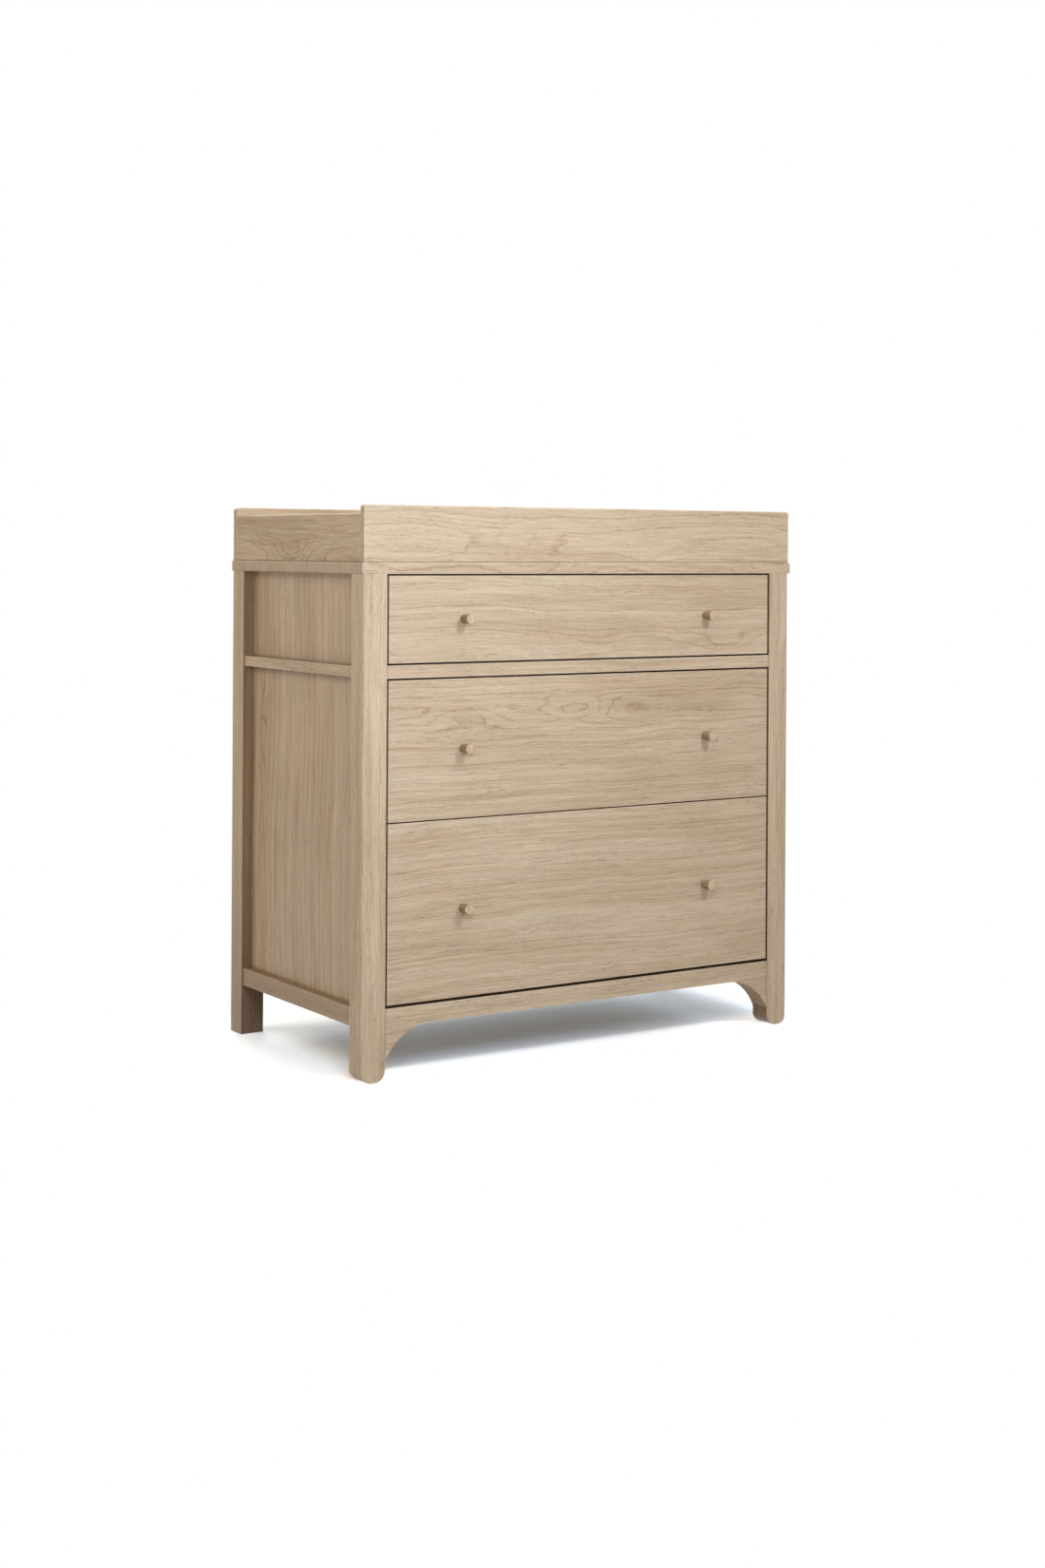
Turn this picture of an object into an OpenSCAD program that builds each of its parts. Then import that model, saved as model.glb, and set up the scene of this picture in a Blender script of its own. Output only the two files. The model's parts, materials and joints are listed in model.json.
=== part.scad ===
// Changing table: a three-drawer chest on four legs with an open tray round its top.
// Millimetres, +Z up, -Y to the front, +X to the right of someone facing it.
// The origin is on the floor, at the middle of the whole model's length and depth.
// Modules draw in the chest's own frame, where y = 0 is the legs' front face; place() moves them.

/* [Chest] */
// Width over the legs
chest_w = 928; // [820:1:1100]
// Depth over the legs
chest_d = 500; // [490:1:580]
// Height of the changing surface above the floor
surface_h = 880; // [860:1:940]

/* [Legs] */
// Width of a leg, seen from the front
leg_w = 46; // [42:0.5:60]
// Depth of a leg, seen from the side
leg_d = 43; // [40:0.5:52]
// Radius of a leg's outer upright edge
leg_edge_r = 5; // [2:0.5:8]
// Radius of the two lower corners of a front leg
foot_r = 20; // [8:0.5:20]

/* [Top panel] */
// Thickness of the top panel
top_t = 20; // [16:0.5:28]
// How far the top panel stands out past the legs at each side
top_side_overhang = 4; // [2:0.5:10]
// How far the top panel stands out past the legs at the front
top_front_overhang = 1; // [0:0.5:5]
// Radius of the top panel's end edges
top_end_r = 4; // [1:0.5:7]
// Radius of the top panel's front edges
top_front_r = 1.5; // [0.5:0.1:4]

/* [Tray] */
// Height of the tray's front and back boards
tray_h = 97.5; // [90:0.5:130]
// Height of the tray's side boards
tray_side_h = 83; // [70:0.5:86]
// Thickness of the tray's boards
tray_t = 14; // [12:0.5:18]
// Radius of the upper corners of the front and back boards
tray_corner_r = 7; // [3:0.5:12]
// Radius of the upper edges of the tray's boards
tray_edge_r = 2.5; // [1:0.5:4]

/* [Sides] */
// How far a side panel is set in from the outer face of the legs
panel_recess = 20; // [15:0.5:21]
// Thickness of a side panel
panel_t = 16; // [12:0.5:18]
// Depth of the grooves in the legs that hold a side panel
panel_groove_d = 6; // [4:0.5:7]
// How far the side rails are set in from the outer face of the legs
side_rail_recess = 3.5; // [2:0.5:6]
// Height of the rail across the middle of a side
side_rail_h = 19; // [12:0.5:23]

/* [Base] */
// Height of the base rails' lower edge above the floor
base_z = 91; // [85:1:120]
// Height of the base rails and of the apron's straight part
base_h = 32; // [24:1:45]
// Radius of the apron's curves
arch_r = 98; // [92:1:110]
// Width of each of the apron's curves
arch_w = 90; // [70:1:92]
// Height of the rail along the bottom of the back
back_rail_h = 60; // [50:1:90]

/* [Rails behind the drawers] */
// Thickness of the flat rails under the top panel
top_rail_t = 18; // [16:0.5:22]
// Depth of the flat rails under the top panel
top_rail_d = 60; // [50:1:80]
// Space between a drawer front and the rail behind it
rail_setback = 4; // [2:0.5:8]
// Thickness of the back panel
back_t = 4; // [3:0.5:6]
// How far the back panel is set in from the legs' rear face
back_recess = 21; // [14:0.5:22]
// Thickness of the rail along the bottom of the back
back_rail_t = 18; // [16:0.5:22]

/* [Drawer fronts] */
// Height of the top drawer's front
top_front_h = 149.5; // [145:0.5:170]
// Height of the middle drawer's front
middle_front_h = 241.5; // [210:0.5:260]
// Height of the rail between the top and middle drawers
divider_h = 23; // [16:0.5:30]
// Thickness of a drawer front
front_t = 18; // [15:0.5:22]
// How far the fronts, the divider and the apron are set in from the legs' front face
front_recess = 1; // [0:0.1:2]
// Gap above and below a drawer front
front_gap = 2.8; // [1.5:0.1:3.5]
// Gap between a drawer front and the legs
side_gap = 3.5; // [2:0.1:4.5]
// Gap between the bottom drawer's front and the apron
apron_gap = 4.8; // [2:0.1:6]
// Gap between the middle and the bottom drawer fronts
stack_gap = 2; // [1.5:0.1:3.5]
// Small radius that takes the sharpness off edges
edge_r = 1; // [0.5:0.1:1.5]

/* [Drawer boxes] */
// Height of the top drawer's box
top_box_h = 110; // [95:1:115]
// Height of the middle drawer's box
middle_box_h = 180; // [150:1:190]
// Height of the bottom drawer's box
bottom_box_h = 220; // [180:1:230]
// Height of a box's lower edge above its front's lower edge
box_rise = 15; // [12:1:20]
// Thickness of a box's sides and back
box_t = 12; // [11:0.5:15]
// Thickness of a drawer's bottom
bottom_t = 4; // [3:0.5:6]
// Height of a drawer's bottom above the lower edge of its box
bottom_rise = 10; // [8:1:14]
// Depth of the grooves that hold a drawer's bottom
bottom_groove_d = 5; // [3:0.5:6]
// Space between a box and the back panel
box_back_gap = 32; // [12:1:36]

/* [Drawer slides] */
// Length of a telescopic slide
slide_len = 400; // [350:10:400]
// Height of a slide's outer member
slide_h = 45; // [45:0.5:46]
// Thickness of a slide, and so the space between chest and box
slide_t = 12.7; // [12.7:0.1:13.5]
// Thickness of the slides' sheet steel
slide_sheet = 1.2; // [1:0.1:1.2]
// Space between a drawer front and the front end of its slides
slide_end_gap = 1; // [0.5:0.5:6]
// Height of a slide's middle above the lower edge of its box
slide_rise = 45; // [40:1:50]
// Height of the battens that carry the slides
batten_h = 60; // [52:1:70]
// Distance from a slide's ends to its screws
slide_screw_end = 32; // [20:1:60]
// Running space between a slide's members
slide_play = 0.3; // [0.2:0.05:0.4]

/* [Knobs] */
// Diameter of a knob's face
knob_face = 18; // [16:0.5:30]
// Diameter of a knob where it meets the drawer
knob_base = 15.5; // [12:0.5:17]
// Length of a knob
knob_len = 24; // [20:0.5:32]
// Radius of the edge round a knob's face
knob_edge_r = 1.2; // [0.5:0.1:2]
// Distance between a drawer's two knobs
knob_pitch = 530; // [400:5:640]

/* [Fixings] */
// Diameter of a wooden dowel
dowel_dia = 8; // [6:0.5:8]
// Length of a wooden dowel
dowel_len = 30; // [24:1:36]
// Depth of a tray dowel in the tray's front or back board
tray_dowel_in = 9; // [6:0.5:10]
// Diameter of a dowel in a drawer's joints
box_dowel_dia = 6; // [5:0.5:7]
// Length of a dowel in a drawer's joints
box_dowel_len = 25; // [20:1:30]
// Depth of a drawer's dowel in the front, or in a side where it meets the back
box_dowel_in = 8; // [6:0.5:9]
// Diameter of a knob's machine screw
knob_screw_dia = 4; // [3:0.5:5]
// Length of a knob's machine screw in the knob
knob_screw_in = 12; // [8:0.5:14]
// Diameter of a wood screw
screw_dia = 3.5; // [3:0.1:4]
// Diameter of a wood screw's head
screw_head_dia = 7; // [6:0.5:8]
// Height of a wood screw's head
screw_head_h = 1.8; // [1.2:0.1:1.8]
// Length of a screw that holds a slide
slide_screw_len = 9; // [7:0.5:10]
// Length of a screw that holds a plate or the back panel
plate_screw_len = 14; // [10:0.5:14]
// Length of a screw that holds the top panel
top_screw_len = 30; // [26:1:33]
// Thickness of the metal plates on the back
plate_t = 2; // [1.5:0.1:3]
// Width of a metal plate on the back
plate_w = 34; // [24:1:50]
// Height of a plate that holds the tray
plate_h = 50; // [44:1:60]
// Distance between the two plates that hold the tray
plate_pitch = 640; // [400:10:760]
// Height of the wall anchor's upright leaf
anchor_h = 50; // [44:1:70]
// Width of the wall anchor's flange under the top panel
anchor_flange = 18; // [14:0.5:20]
// Diameter of the hole in the wall anchor
anchor_hole = 6; // [5:0.5:8]
// Height of the wall anchor's hole above its lower edge
anchor_hole_rise = 14; // [10:1:20]
// Space all round a wooden dowel or a screw in its hole
hole_play = 0.05; // [0.05:0.01:0.1]
// Space all round a panel in its groove
groove_play = 0.15; // [0.1:0.05:0.25]

/* [Hidden] */
$fn = 48;
LEFT = -1;
RIGHT = 1;
TOP = 0;
MIDDLE = 1;
BOTTOM = 2;
DRAWERS = ["top", "middle", "bottom"];
oak = "#cdb592";
oak_side = "#b89d7c";
birch = "#e3d3b4";
hardboard = "#a98a62";
beech = "#d9b98c";
zinc = "#b9bcc0";

// How far a cut runs on past the face that it starts from
past = 1;

// The outer parts of the chest, measured in its own frame
outer_x = -chest_w / 2;
inner_x = outer_x + leg_w;
top_z = surface_h - top_t;
panel_x = outer_x + panel_recess;
batten_t = leg_w - panel_recess - panel_t;
rear_leg_y = chest_d - leg_d;
side_len = chest_d - 2 * leg_d;
back_y = chest_d - back_recess - back_t;
apron_z = base_z + base_h;
arch_drop = arch_r - sqrt(arch_r * arch_r - arch_w * arch_w);
rear_proud = plate_t + screw_head_h;
knob_proud = knob_len - front_recess;
front_y = -(chest_d + rear_proud + knob_proud) / 2 + knob_proud;

// The drawers, from the top one down
divider_z = top_z - 2 * front_gap - top_front_h - divider_h;
middle_front_z = divider_z - front_gap - middle_front_h;
bottom_front_z = apron_z + apron_gap;
front_z = [divider_z + divider_h + front_gap, middle_front_z, bottom_front_z];
front_h = [top_front_h, middle_front_h, middle_front_z - stack_gap - bottom_front_z];
front_w = 2 * (-inner_x - side_gap);
box_h = [top_box_h, middle_box_h, bottom_box_h];
box_x = inner_x + slide_t;
box_y = front_recess + front_t;
box_len = back_y - box_back_gap - box_y;
slide_y = box_y + slide_end_gap;
function box_z(i) = front_z[i] + box_rise;
function slide_z(i) = box_z(i) + slide_rise;
function knob_z(i) = front_z[i] + front_h[i] / 2;

// A slide's section: the members sit one inside another, with rows of ball cages between them
member_gap = 1;
head_gap = 0.4;
lip_step = 0.5;
cage_w = 3;
cage_h = 3.1;
cage_root = 0.1;
cage_shift = 1.4;
outer_lip = slide_t - slide_sheet - member_gap;
middle_x = slide_sheet + screw_head_h + head_gap;
middle_lip = outer_lip - lip_step;
middle_top = slide_h / 2 - slide_sheet - cage_h;
cage_x = middle_x + slide_sheet + cage_shift;
inner_top = middle_top - slide_sheet - cage_h - slide_play;
inner_flange_x = middle_x + slide_sheet + member_gap;
slide_screw_at = [slide_screw_end, slide_len - slide_screw_end];
middle_end_gap = 4;

// Space past the end of a knob's screw
screw_end_room = 1;

// The side rails stand on the panels and line up with the divider and the apron
side_rail_t = panel_recess - side_rail_recess;
side_rail_z = divider_z + (divider_h - side_rail_h) / 2;
side_rail_x = outer_x + side_rail_recess;

// Where the dowels go: each is [middle of the dowel, direction]
side_dowel_x = side_rail_x + side_rail_t / 2;
side_dowel_z = [side_rail_z + side_rail_h / 2, base_z + base_h / 2];
apron_dowel_z = [base_z + base_h / 2, base_z - arch_drop / 3];
top_rail_z = top_z - top_rail_t / 2;
front_rail_y = box_y + rail_setback;
rear_rail_y = back_y - top_rail_d;
front_dowel_y = (front_rail_y + leg_d - panel_groove_d) / 2;
rear_dowel_y = (rear_leg_y + panel_groove_d + back_y) / 2;
tray_dowel_rise = [tray_side_h / 4, tray_side_h * 3 / 4];
tray_dowel_shift = dowel_len / 2 - tray_dowel_in;

function box_dowel_z(i) = [box_z(i) + 0.3 * box_h[i], box_z(i) + 0.75 * box_h[i]];

// Where the screws go
top_screw_x = [-0.32, 0, 0.32] * chest_w;
panel_screw_x = [-0.41, -0.2, 0.2, 0.41] * chest_w;
plate_screw_end = 8;
anchor_screw_x = [plate_screw_end - plate_w / 2, plate_w / 2 - plate_screw_end];
anchor_screw_z = top_z - top_rail_t / 2;
anchor_z = top_z - anchor_h;
tray_screw_rise = [plate_screw_end, plate_h - plate_screw_end];
tray_plate_z = surface_h - top_t / 2 - plate_screw_end;

// ---------- helpers ----------

// Moves a piece from the chest's own frame to the model's
module place() {
  translate([0, front_y, 0]) children();
}

// Draws a piece of the left side as it is, or mirrored for the right side
module on_side(side) {
  if (side == LEFT) children();
  else mirror([1, 0, 0]) children();
}

// The two points that cut the corner p, r along the directions a and b, or p itself
function corner(p, a, b, r) = r > 0 ? [p + r * a, p + r * b] : [p];

// A rectangle with a true arc at each corner: r is [low left, low right, high right, high left]
module rounded_rect(w, h, r) {
  centres = [[r[0], r[0]], [w - r[1], r[1]], [w - r[2], h - r[2]], [r[3], h - r[3]]];
  polygon(concat(
    corner([0, 0], [0, 1], [1, 0], r[0]),
    corner([w, 0], [-1, 0], [0, 1], r[1]),
    corner([w, h], [0, -1], [-1, 0], r[2]),
    corner([0, h], [1, 0], [0, -1], r[3])
  ));
  for (i = [0:3]) if (r[i] > 0) translate(centres[i]) circle(r[i]);
}

// Extrusions of an outline drawn as seen from the front, from the side and from above
module along_y(len) {
  translate([0, len, 0]) rotate([90, 0, 0]) linear_extrude(len) children();
}
module along_x(len) {
  rotate([90, 0, 90]) linear_extrude(len) children();
}

// A board with its own corner radii seen from the front, from the side and from above
module board(size, front, side, plan) {
  intersection() {
    along_y(size.y) rounded_rect(size.x, size.z, front);
    along_x(size.x) rounded_rect(size.y, size.z, side);
    linear_extrude(size.z) rounded_rect(size.x, size.y, plan);
  }
}

// Radii for board(): the same all round, or none
function all_round(r) = [r, r, r, r];
SHARP = all_round(0);

// A pin or a hole, centred on its middle, along X, Y or Z
module pin_x(d, len) {
  rotate([0, 90, 0]) cylinder(d = d, h = len, center = true);
}
module pin_y(d, len) {
  rotate([90, 0, 0]) cylinder(d = d, h = len, center = true);
}

// A wood screw: its head stands on z = 0 and its shank hangs below
module wood_screw(len) {
  tip = screw_dia;
  cylinder(d = screw_head_dia, h = screw_head_h);
  translate([0, 0, -len + tip]) cylinder(d = screw_dia, h = len - tip);
  translate([0, 0, -len]) cylinder(d1 = 0, d2 = screw_dia, h = tip);
}

// The hole that a wood screw's shank goes into
module screw_hole(len) {
  translate([0, 0, -len - hole_play])
    cylinder(d = screw_dia + 2 * hole_play, h = len + hole_play + past);
}

// ---------- dowels ----------

// Every dowel, or with play the hole that it goes into, by the joint it makes
module side_dowels(side, play = 0) {
  on_side(side)
    for (y = [leg_d, rear_leg_y], z = side_dowel_z)
      translate([side_dowel_x, y, z]) pin_y(dowel_dia + 2 * play, dowel_len + 2 * play);
}
module divider_dowels(play = 0) {
  for (side = [LEFT, RIGHT])
    on_side(side) translate([inner_x, leg_d / 2, divider_z + divider_h / 2])
      pin_x(dowel_dia + 2 * play, dowel_len + 2 * play);
}
module apron_dowels(play = 0) {
  for (side = [LEFT, RIGHT], z = apron_dowel_z)
    on_side(side) translate([inner_x, leg_d / 2, z])
      pin_x(dowel_dia + 2 * play, dowel_len + 2 * play);
}
module front_rail_dowels(play = 0) {
  for (side = [LEFT, RIGHT])
    on_side(side) translate([inner_x, front_dowel_y, top_rail_z])
      pin_x(dowel_dia + 2 * play, dowel_len + 2 * play);
}
module rear_rail_dowels(play = 0) {
  for (side = [LEFT, RIGHT])
    on_side(side) translate([inner_x, rear_dowel_y, top_rail_z])
      pin_x(dowel_dia + 2 * play, dowel_len + 2 * play);
}
module back_base_dowels(play = 0) {
  for (side = [LEFT, RIGHT])
    on_side(side) translate([inner_x, rear_dowel_y, base_z + back_rail_h / 2])
      pin_x(dowel_dia + 2 * play, dowel_len + 2 * play);
}
module tray_dowels(play = 0) {
  for (side = [LEFT, RIGHT], rise = tray_dowel_rise)
    on_side(side) {
      translate([outer_x + tray_t / 2, tray_t + tray_dowel_shift, surface_h + rise])
        pin_y(dowel_dia + 2 * play, dowel_len + 2 * play);
      translate([outer_x + tray_t / 2, chest_d - tray_t - tray_dowel_shift, surface_h + rise])
        pin_y(dowel_dia + 2 * play, dowel_len + 2 * play);
    }
}
module wooden_dowels() {
  color(beech) place() {
    side_dowels(LEFT);
    side_dowels(RIGHT);
    divider_dowels();
    apron_dowels();
    front_rail_dowels();
    rear_rail_dowels();
    back_base_dowels();
    tray_dowels();
  }
}

// ---------- legs and sides ----------

// The groove down a leg that takes a side panel's edge
module panel_groove(y) {
  translate([panel_x - groove_play, y, base_z])
    cube([panel_t + 2 * groove_play, panel_groove_d + groove_play + past, top_z]);
}

module front_leg(side) {
  color(oak) place() difference() {
    on_side(side) difference() {
      translate([outer_x, 0, 0])
        board([leg_w, leg_d, top_z], [foot_r, foot_r, 0, 0], SHARP,
              [leg_edge_r, edge_r, edge_r, edge_r]);
      panel_groove(leg_d - panel_groove_d - groove_play);
    }
    side_dowels(side, hole_play);
    divider_dowels(hole_play);
    apron_dowels(hole_play);
    front_rail_dowels(hole_play);
  }
}

module rear_leg(side) {
  color(oak) place() difference() {
    on_side(side) difference() {
      translate([outer_x, rear_leg_y, 0])
        board([leg_w, leg_d, top_z], [edge_r, edge_r, 0, 0], [edge_r, edge_r, 0, 0],
              all_round(edge_r));
      panel_groove(rear_leg_y - past);
    }
    side_dowels(side, hole_play);
    rear_rail_dowels(hole_play);
    back_base_dowels(hole_play);
  }
}

module side_panel(side) {
  color(oak_side) place() on_side(side)
    translate([panel_x, leg_d - panel_groove_d, base_z])
      cube([panel_t, side_len + 2 * panel_groove_d, top_z - base_z]);
}

// A rail between the legs of one side, standing on the panel's outer face
module side_rail(side, z, h) {
  color(oak_side) place() difference() {
    on_side(side) translate([side_rail_x, leg_d, z])
      along_y(side_len) rounded_rect(side_rail_t, h, [edge_r, 0, 0, edge_r]);
    side_dowels(side, hole_play);
  }
}

// The battens inside one side: each carries the slide of one drawer
module runner_battens(side) {
  color(birch) place() on_side(side)
    for (i = [TOP, MIDDLE, BOTTOM]) difference() {
      translate([panel_x + panel_t, leg_d, slide_z(i) - batten_h / 2])
        cube([batten_t, side_len, batten_h]);
      for (s = slide_screw_at)
        translate([inner_x + slide_sheet, slide_y + s, slide_z(i)])
          rotate([0, 90, 0]) screw_hole(slide_screw_len);
    }
}

// ---------- rails across the front and the back ----------

// A flat rail under the top panel
module top_rail(y) {
  difference() {
    translate([inner_x, y, top_z - top_rail_t]) cube([-2 * inner_x, top_rail_d, top_rail_t]);
    front_rail_dowels(hole_play);
    rear_rail_dowels(hole_play);
    top_screw_holes(y);
  }
}
module top_screw_holes(y) {
  for (x = top_screw_x)
    translate([x, y + top_rail_d / 2, top_z - top_rail_t]) rotate([180, 0, 0])
      screw_hole(top_screw_len);
}
module front_top_rail() {
  color(birch) place() top_rail(front_rail_y);
}
module rear_top_rail() {
  color(birch) place() difference() {
    top_rail(rear_rail_y);
    panel_screw_holes();
    anchor_screw_holes();
  }
}

module front_divider_rail() {
  color(oak) place() difference() {
    translate([inner_x, front_recess, divider_z])
      along_x(-2 * inner_x)
        rounded_rect(leg_d - front_recess, divider_h, [edge_r, 0, 0, edge_r]);
    divider_dowels(hole_play);
  }
}

// The apron's outline from the front: a straight rail that curves down to each leg
module apron_outline() {
  translate([inner_x, base_z]) square([-2 * inner_x, base_h]);
  for (side = [LEFT, RIGHT])
    mirror([side == LEFT ? 0 : 1, 0]) difference() {
      translate([inner_x, base_z - arch_drop]) square([arch_w, arch_drop + past]);
      translate([inner_x + arch_w, base_z - arch_r]) circle(arch_r, $fn = 180);
    }
}
module front_apron() {
  color(oak) place() difference() {
    translate([0, front_recess, 0]) along_y(leg_d - front_recess) apron_outline();
    apron_dowels(hole_play);
  }
}

module back_base_rail() {
  color(birch) place() difference() {
    translate([inner_x, back_y - back_rail_t, base_z])
      cube([-2 * inner_x, back_rail_t, back_rail_h]);
    back_base_dowels(hole_play);
    panel_screw_holes();
  }
}

// The screws that hold the back panel to the rails behind it
module panel_screw_spots() {
  for (x = panel_screw_x, z = [base_z + back_rail_h / 2, top_z - top_rail_t / 2])
    translate([x, back_y + back_t, z]) rotate([-90, 0, 0]) children();
}
module panel_screw_holes() {
  panel_screw_spots() screw_hole(plate_screw_len);
}
module back_panel() {
  color(hardboard) place() difference() {
    translate([inner_x, back_y, base_z]) cube([-2 * inner_x, back_t, top_z - base_z]);
    panel_screw_holes();
    anchor_screw_holes();
  }
}

// ---------- top panel and its screws ----------

module top_panel() {
  color(oak) place() difference() {
    translate([outer_x - top_side_overhang, -top_front_overhang, top_z])
      board([chest_w + 2 * top_side_overhang, chest_d + top_front_overhang, top_t],
            all_round(top_end_r), [top_front_r, edge_r, edge_r, top_front_r],
            [top_end_r, edge_r, edge_r, top_end_r]);
    top_screw_holes(front_rail_y);
    top_screw_holes(rear_rail_y);
    tray_screw_holes();
  }
}
module top_fixing_screws() {
  color(zinc) place()
    for (x = top_screw_x, y = [front_rail_y, rear_rail_y])
      translate([x, y + top_rail_d / 2, top_z - top_rail_t]) rotate([180, 0, 0])
        wood_screw(top_screw_len);
}

// ---------- tray ----------

module tray_long_board(y) {
  color(oak) place() difference() {
    translate([outer_x, y, surface_h])
      board([chest_w, tray_t, tray_h], [edge_r, edge_r, tray_corner_r, tray_corner_r],
            [edge_r, edge_r, tray_edge_r, tray_edge_r], all_round(edge_r));
    tray_dowels(hole_play);
    tray_screw_holes();
  }
}
module tray_side_board(side) {
  color(oak_side) place() difference() {
    on_side(side) translate([outer_x, tray_t, surface_h])
      along_y(chest_d - 2 * tray_t)
        rounded_rect(tray_t, tray_side_h, [edge_r, edge_r, tray_edge_r, tray_edge_r]);
    tray_dowels(hole_play);
  }
}

// The plates on the back that tie the tray to the top panel
module tray_screw_spots() {
  for (x = [-plate_pitch / 2, plate_pitch / 2], rise = tray_screw_rise)
    translate([x, chest_d + plate_t, tray_plate_z + rise]) rotate([-90, 0, 0]) children();
}
module tray_screw_holes() {
  tray_screw_spots() screw_hole(plate_screw_len);
}
module tray_fixing_plates() {
  color(zinc) place() difference() {
    for (x = [-plate_pitch / 2, plate_pitch / 2])
      translate([x - plate_w / 2, chest_d, tray_plate_z]) cube([plate_w, plate_t, plate_h]);
    tray_screw_holes();
  }
}

// ---------- wall anchor ----------

module anchor_screw_spots() {
  for (x = anchor_screw_x)
    translate([x, back_y + back_t + plate_t, anchor_screw_z]) rotate([-90, 0, 0]) children();
}
module anchor_screw_holes() {
  anchor_screw_spots() screw_hole(plate_screw_len);
}
module wall_anchor_bracket() {
  color(zinc) place() difference() {
    translate([-plate_w / 2, back_y + back_t, anchor_z]) {
      cube([plate_w, plate_t, anchor_h]);
      translate([0, 0, anchor_h - plate_t]) cube([plate_w, anchor_flange, plate_t]);
    }
    anchor_screw_holes();
    translate([0, back_y + back_t + plate_t / 2, anchor_z + anchor_hole_rise])
      pin_y(anchor_hole, 2 * plate_t);
  }
}

// All the screws driven from the back: for the back panel, the plates and the wall anchor
module back_screws() {
  color(zinc) place() {
    panel_screw_spots() wood_screw(plate_screw_len);
    tray_screw_spots() wood_screw(plate_screw_len);
    anchor_screw_spots() wood_screw(plate_screw_len);
  }
}

// ---------- drawer slides ----------

// Half of a slide's section above its middle is mirrored below: x runs from chest to box
module both_halves() {
  children();
  mirror([0, 1]) children();
}
module outer_member_section() {
  both_halves() {
    square([slide_sheet, slide_h / 2]);
    translate([0, slide_h / 2 - slide_sheet]) square([outer_lip, slide_sheet]);
  }
}
module middle_member_section() {
  both_halves() {
    translate([middle_x, 0]) square([slide_sheet, middle_top]);
    translate([middle_x, middle_top - slide_sheet]) square([middle_lip - middle_x, slide_sheet]);
    translate([cage_x, middle_top - cage_root]) square([cage_w, cage_root + cage_h - slide_play]);
    translate([cage_x, inner_top + slide_play]) square([cage_w, cage_h + cage_root]);
  }
}
module inner_member_section() {
  both_halves() {
    translate([slide_t - slide_sheet, 0]) square([slide_sheet, inner_top]);
    translate([inner_flange_x, inner_top - slide_sheet])
      square([slide_t - inner_flange_x, slide_sheet]);
  }
}

// A pair of slide members, left and right, for drawer i: start and len are along the slide
module member_pair(i, start, len) {
  for (side = [LEFT, RIGHT])
    on_side(side) translate([inner_x, slide_y + start, slide_z(i)])
      along_y(len) children();
}
module cabinet_screw_spots(i) {
  for (side = [LEFT, RIGHT], s = slide_screw_at)
    on_side(side) translate([inner_x + slide_sheet, slide_y + s, slide_z(i)])
      rotate([0, 90, 0]) children();
}
module drawer_screw_spots(i) {
  for (side = [LEFT, RIGHT], s = slide_screw_at)
    on_side(side) translate([box_x - slide_sheet, slide_y + s, slide_z(i)])
      rotate([0, -90, 0]) children();
}
module cabinet_slide_members() {
  color(zinc) place() for (i = [TOP, MIDDLE, BOTTOM]) difference() {
    member_pair(i, 0, slide_len) outer_member_section();
    cabinet_screw_spots(i) screw_hole(slide_screw_len);
  }
}
module cabinet_slide_screws() {
  color(zinc) place() for (i = [TOP, MIDDLE, BOTTOM])
    cabinet_screw_spots(i) wood_screw(slide_screw_len);
}
module middle_members(i) {
  color(zinc) place()
    member_pair(i, middle_end_gap, slide_len - 2 * middle_end_gap) middle_member_section();
}
module drawer_slide_members(i) {
  color(zinc) place() difference() {
    member_pair(i, 0, slide_len) inner_member_section();
    drawer_screw_spots(i) screw_hole(slide_screw_len);
  }
}

// ---------- drawers ----------

// The dowels that join a box's sides to its front and its back, or with play their holes
module drawer_dowels(i, play = 0) {
  for (side = [LEFT, RIGHT], z = box_dowel_z(i)) on_side(side) {
    translate([box_x + box_t / 2, box_y - box_dowel_in + box_dowel_len / 2, z])
      pin_y(box_dowel_dia + 2 * play, box_dowel_len + 2 * play);
    translate([box_x + box_t - box_dowel_in + box_dowel_len / 2, box_y + box_len - box_t / 2, z])
      pin_x(box_dowel_dia + 2 * play, box_dowel_len + 2 * play);
  }
}
module drawer_dowel_set(i) {
  color(beech) place() drawer_dowels(i);
}

// The groove round the inside of a box that its bottom lies in
module bottom_groove(i) {
  reach = bottom_groove_d + groove_play;
  translate([box_x + box_t - reach, box_y - reach, box_z(i) + bottom_rise])
    cube([-2 * (box_x + box_t - reach), box_len + reach + past, bottom_t + groove_play]);
}

module knob_spots(i) {
  for (x = [-knob_pitch / 2, knob_pitch / 2])
    translate([x, front_recess, knob_z(i)]) rotate([90, 0, 0]) children();
}

module drawer_front(i) {
  color(oak) place() difference() {
    translate([-front_w / 2, front_recess, front_z[i]])
      board([front_w, front_t, front_h[i]], SHARP, [edge_r, 0, 0, edge_r],
            [edge_r, edge_r, 0, 0]);
    bottom_groove(i);
    drawer_dowels(i, hole_play);
    knob_spots(i) translate([0, 0, -front_t - past])
      cylinder(d = knob_screw_dia + 2 * hole_play, h = front_t + 2 * past);
  }
}

module drawer_side(i, side) {
  color(birch) place() difference() {
    on_side(side) translate([box_x, box_y, box_z(i)])
      along_y(box_len) rounded_rect(box_t, box_h[i], [0, 0, edge_r, edge_r]);
    bottom_groove(i);
    drawer_dowels(i, hole_play);
    drawer_screw_spots(i) screw_hole(slide_screw_len);
  }
}

module drawer_back(i) {
  base = bottom_rise + bottom_t;
  color(birch) place() difference() {
    translate([box_x + box_t, box_y + box_len - box_t, box_z(i) + base])
      cube([-2 * (box_x + box_t), box_t, box_h[i] - base]);
    drawer_dowels(i, hole_play);
  }
}

module drawer_bottom(i) {
  color(hardboard) place()
    translate([box_x + box_t - bottom_groove_d, box_y - bottom_groove_d, box_z(i) + bottom_rise])
      cube([-2 * (box_x + box_t - bottom_groove_d), box_len + bottom_groove_d, bottom_t]);
}

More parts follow.
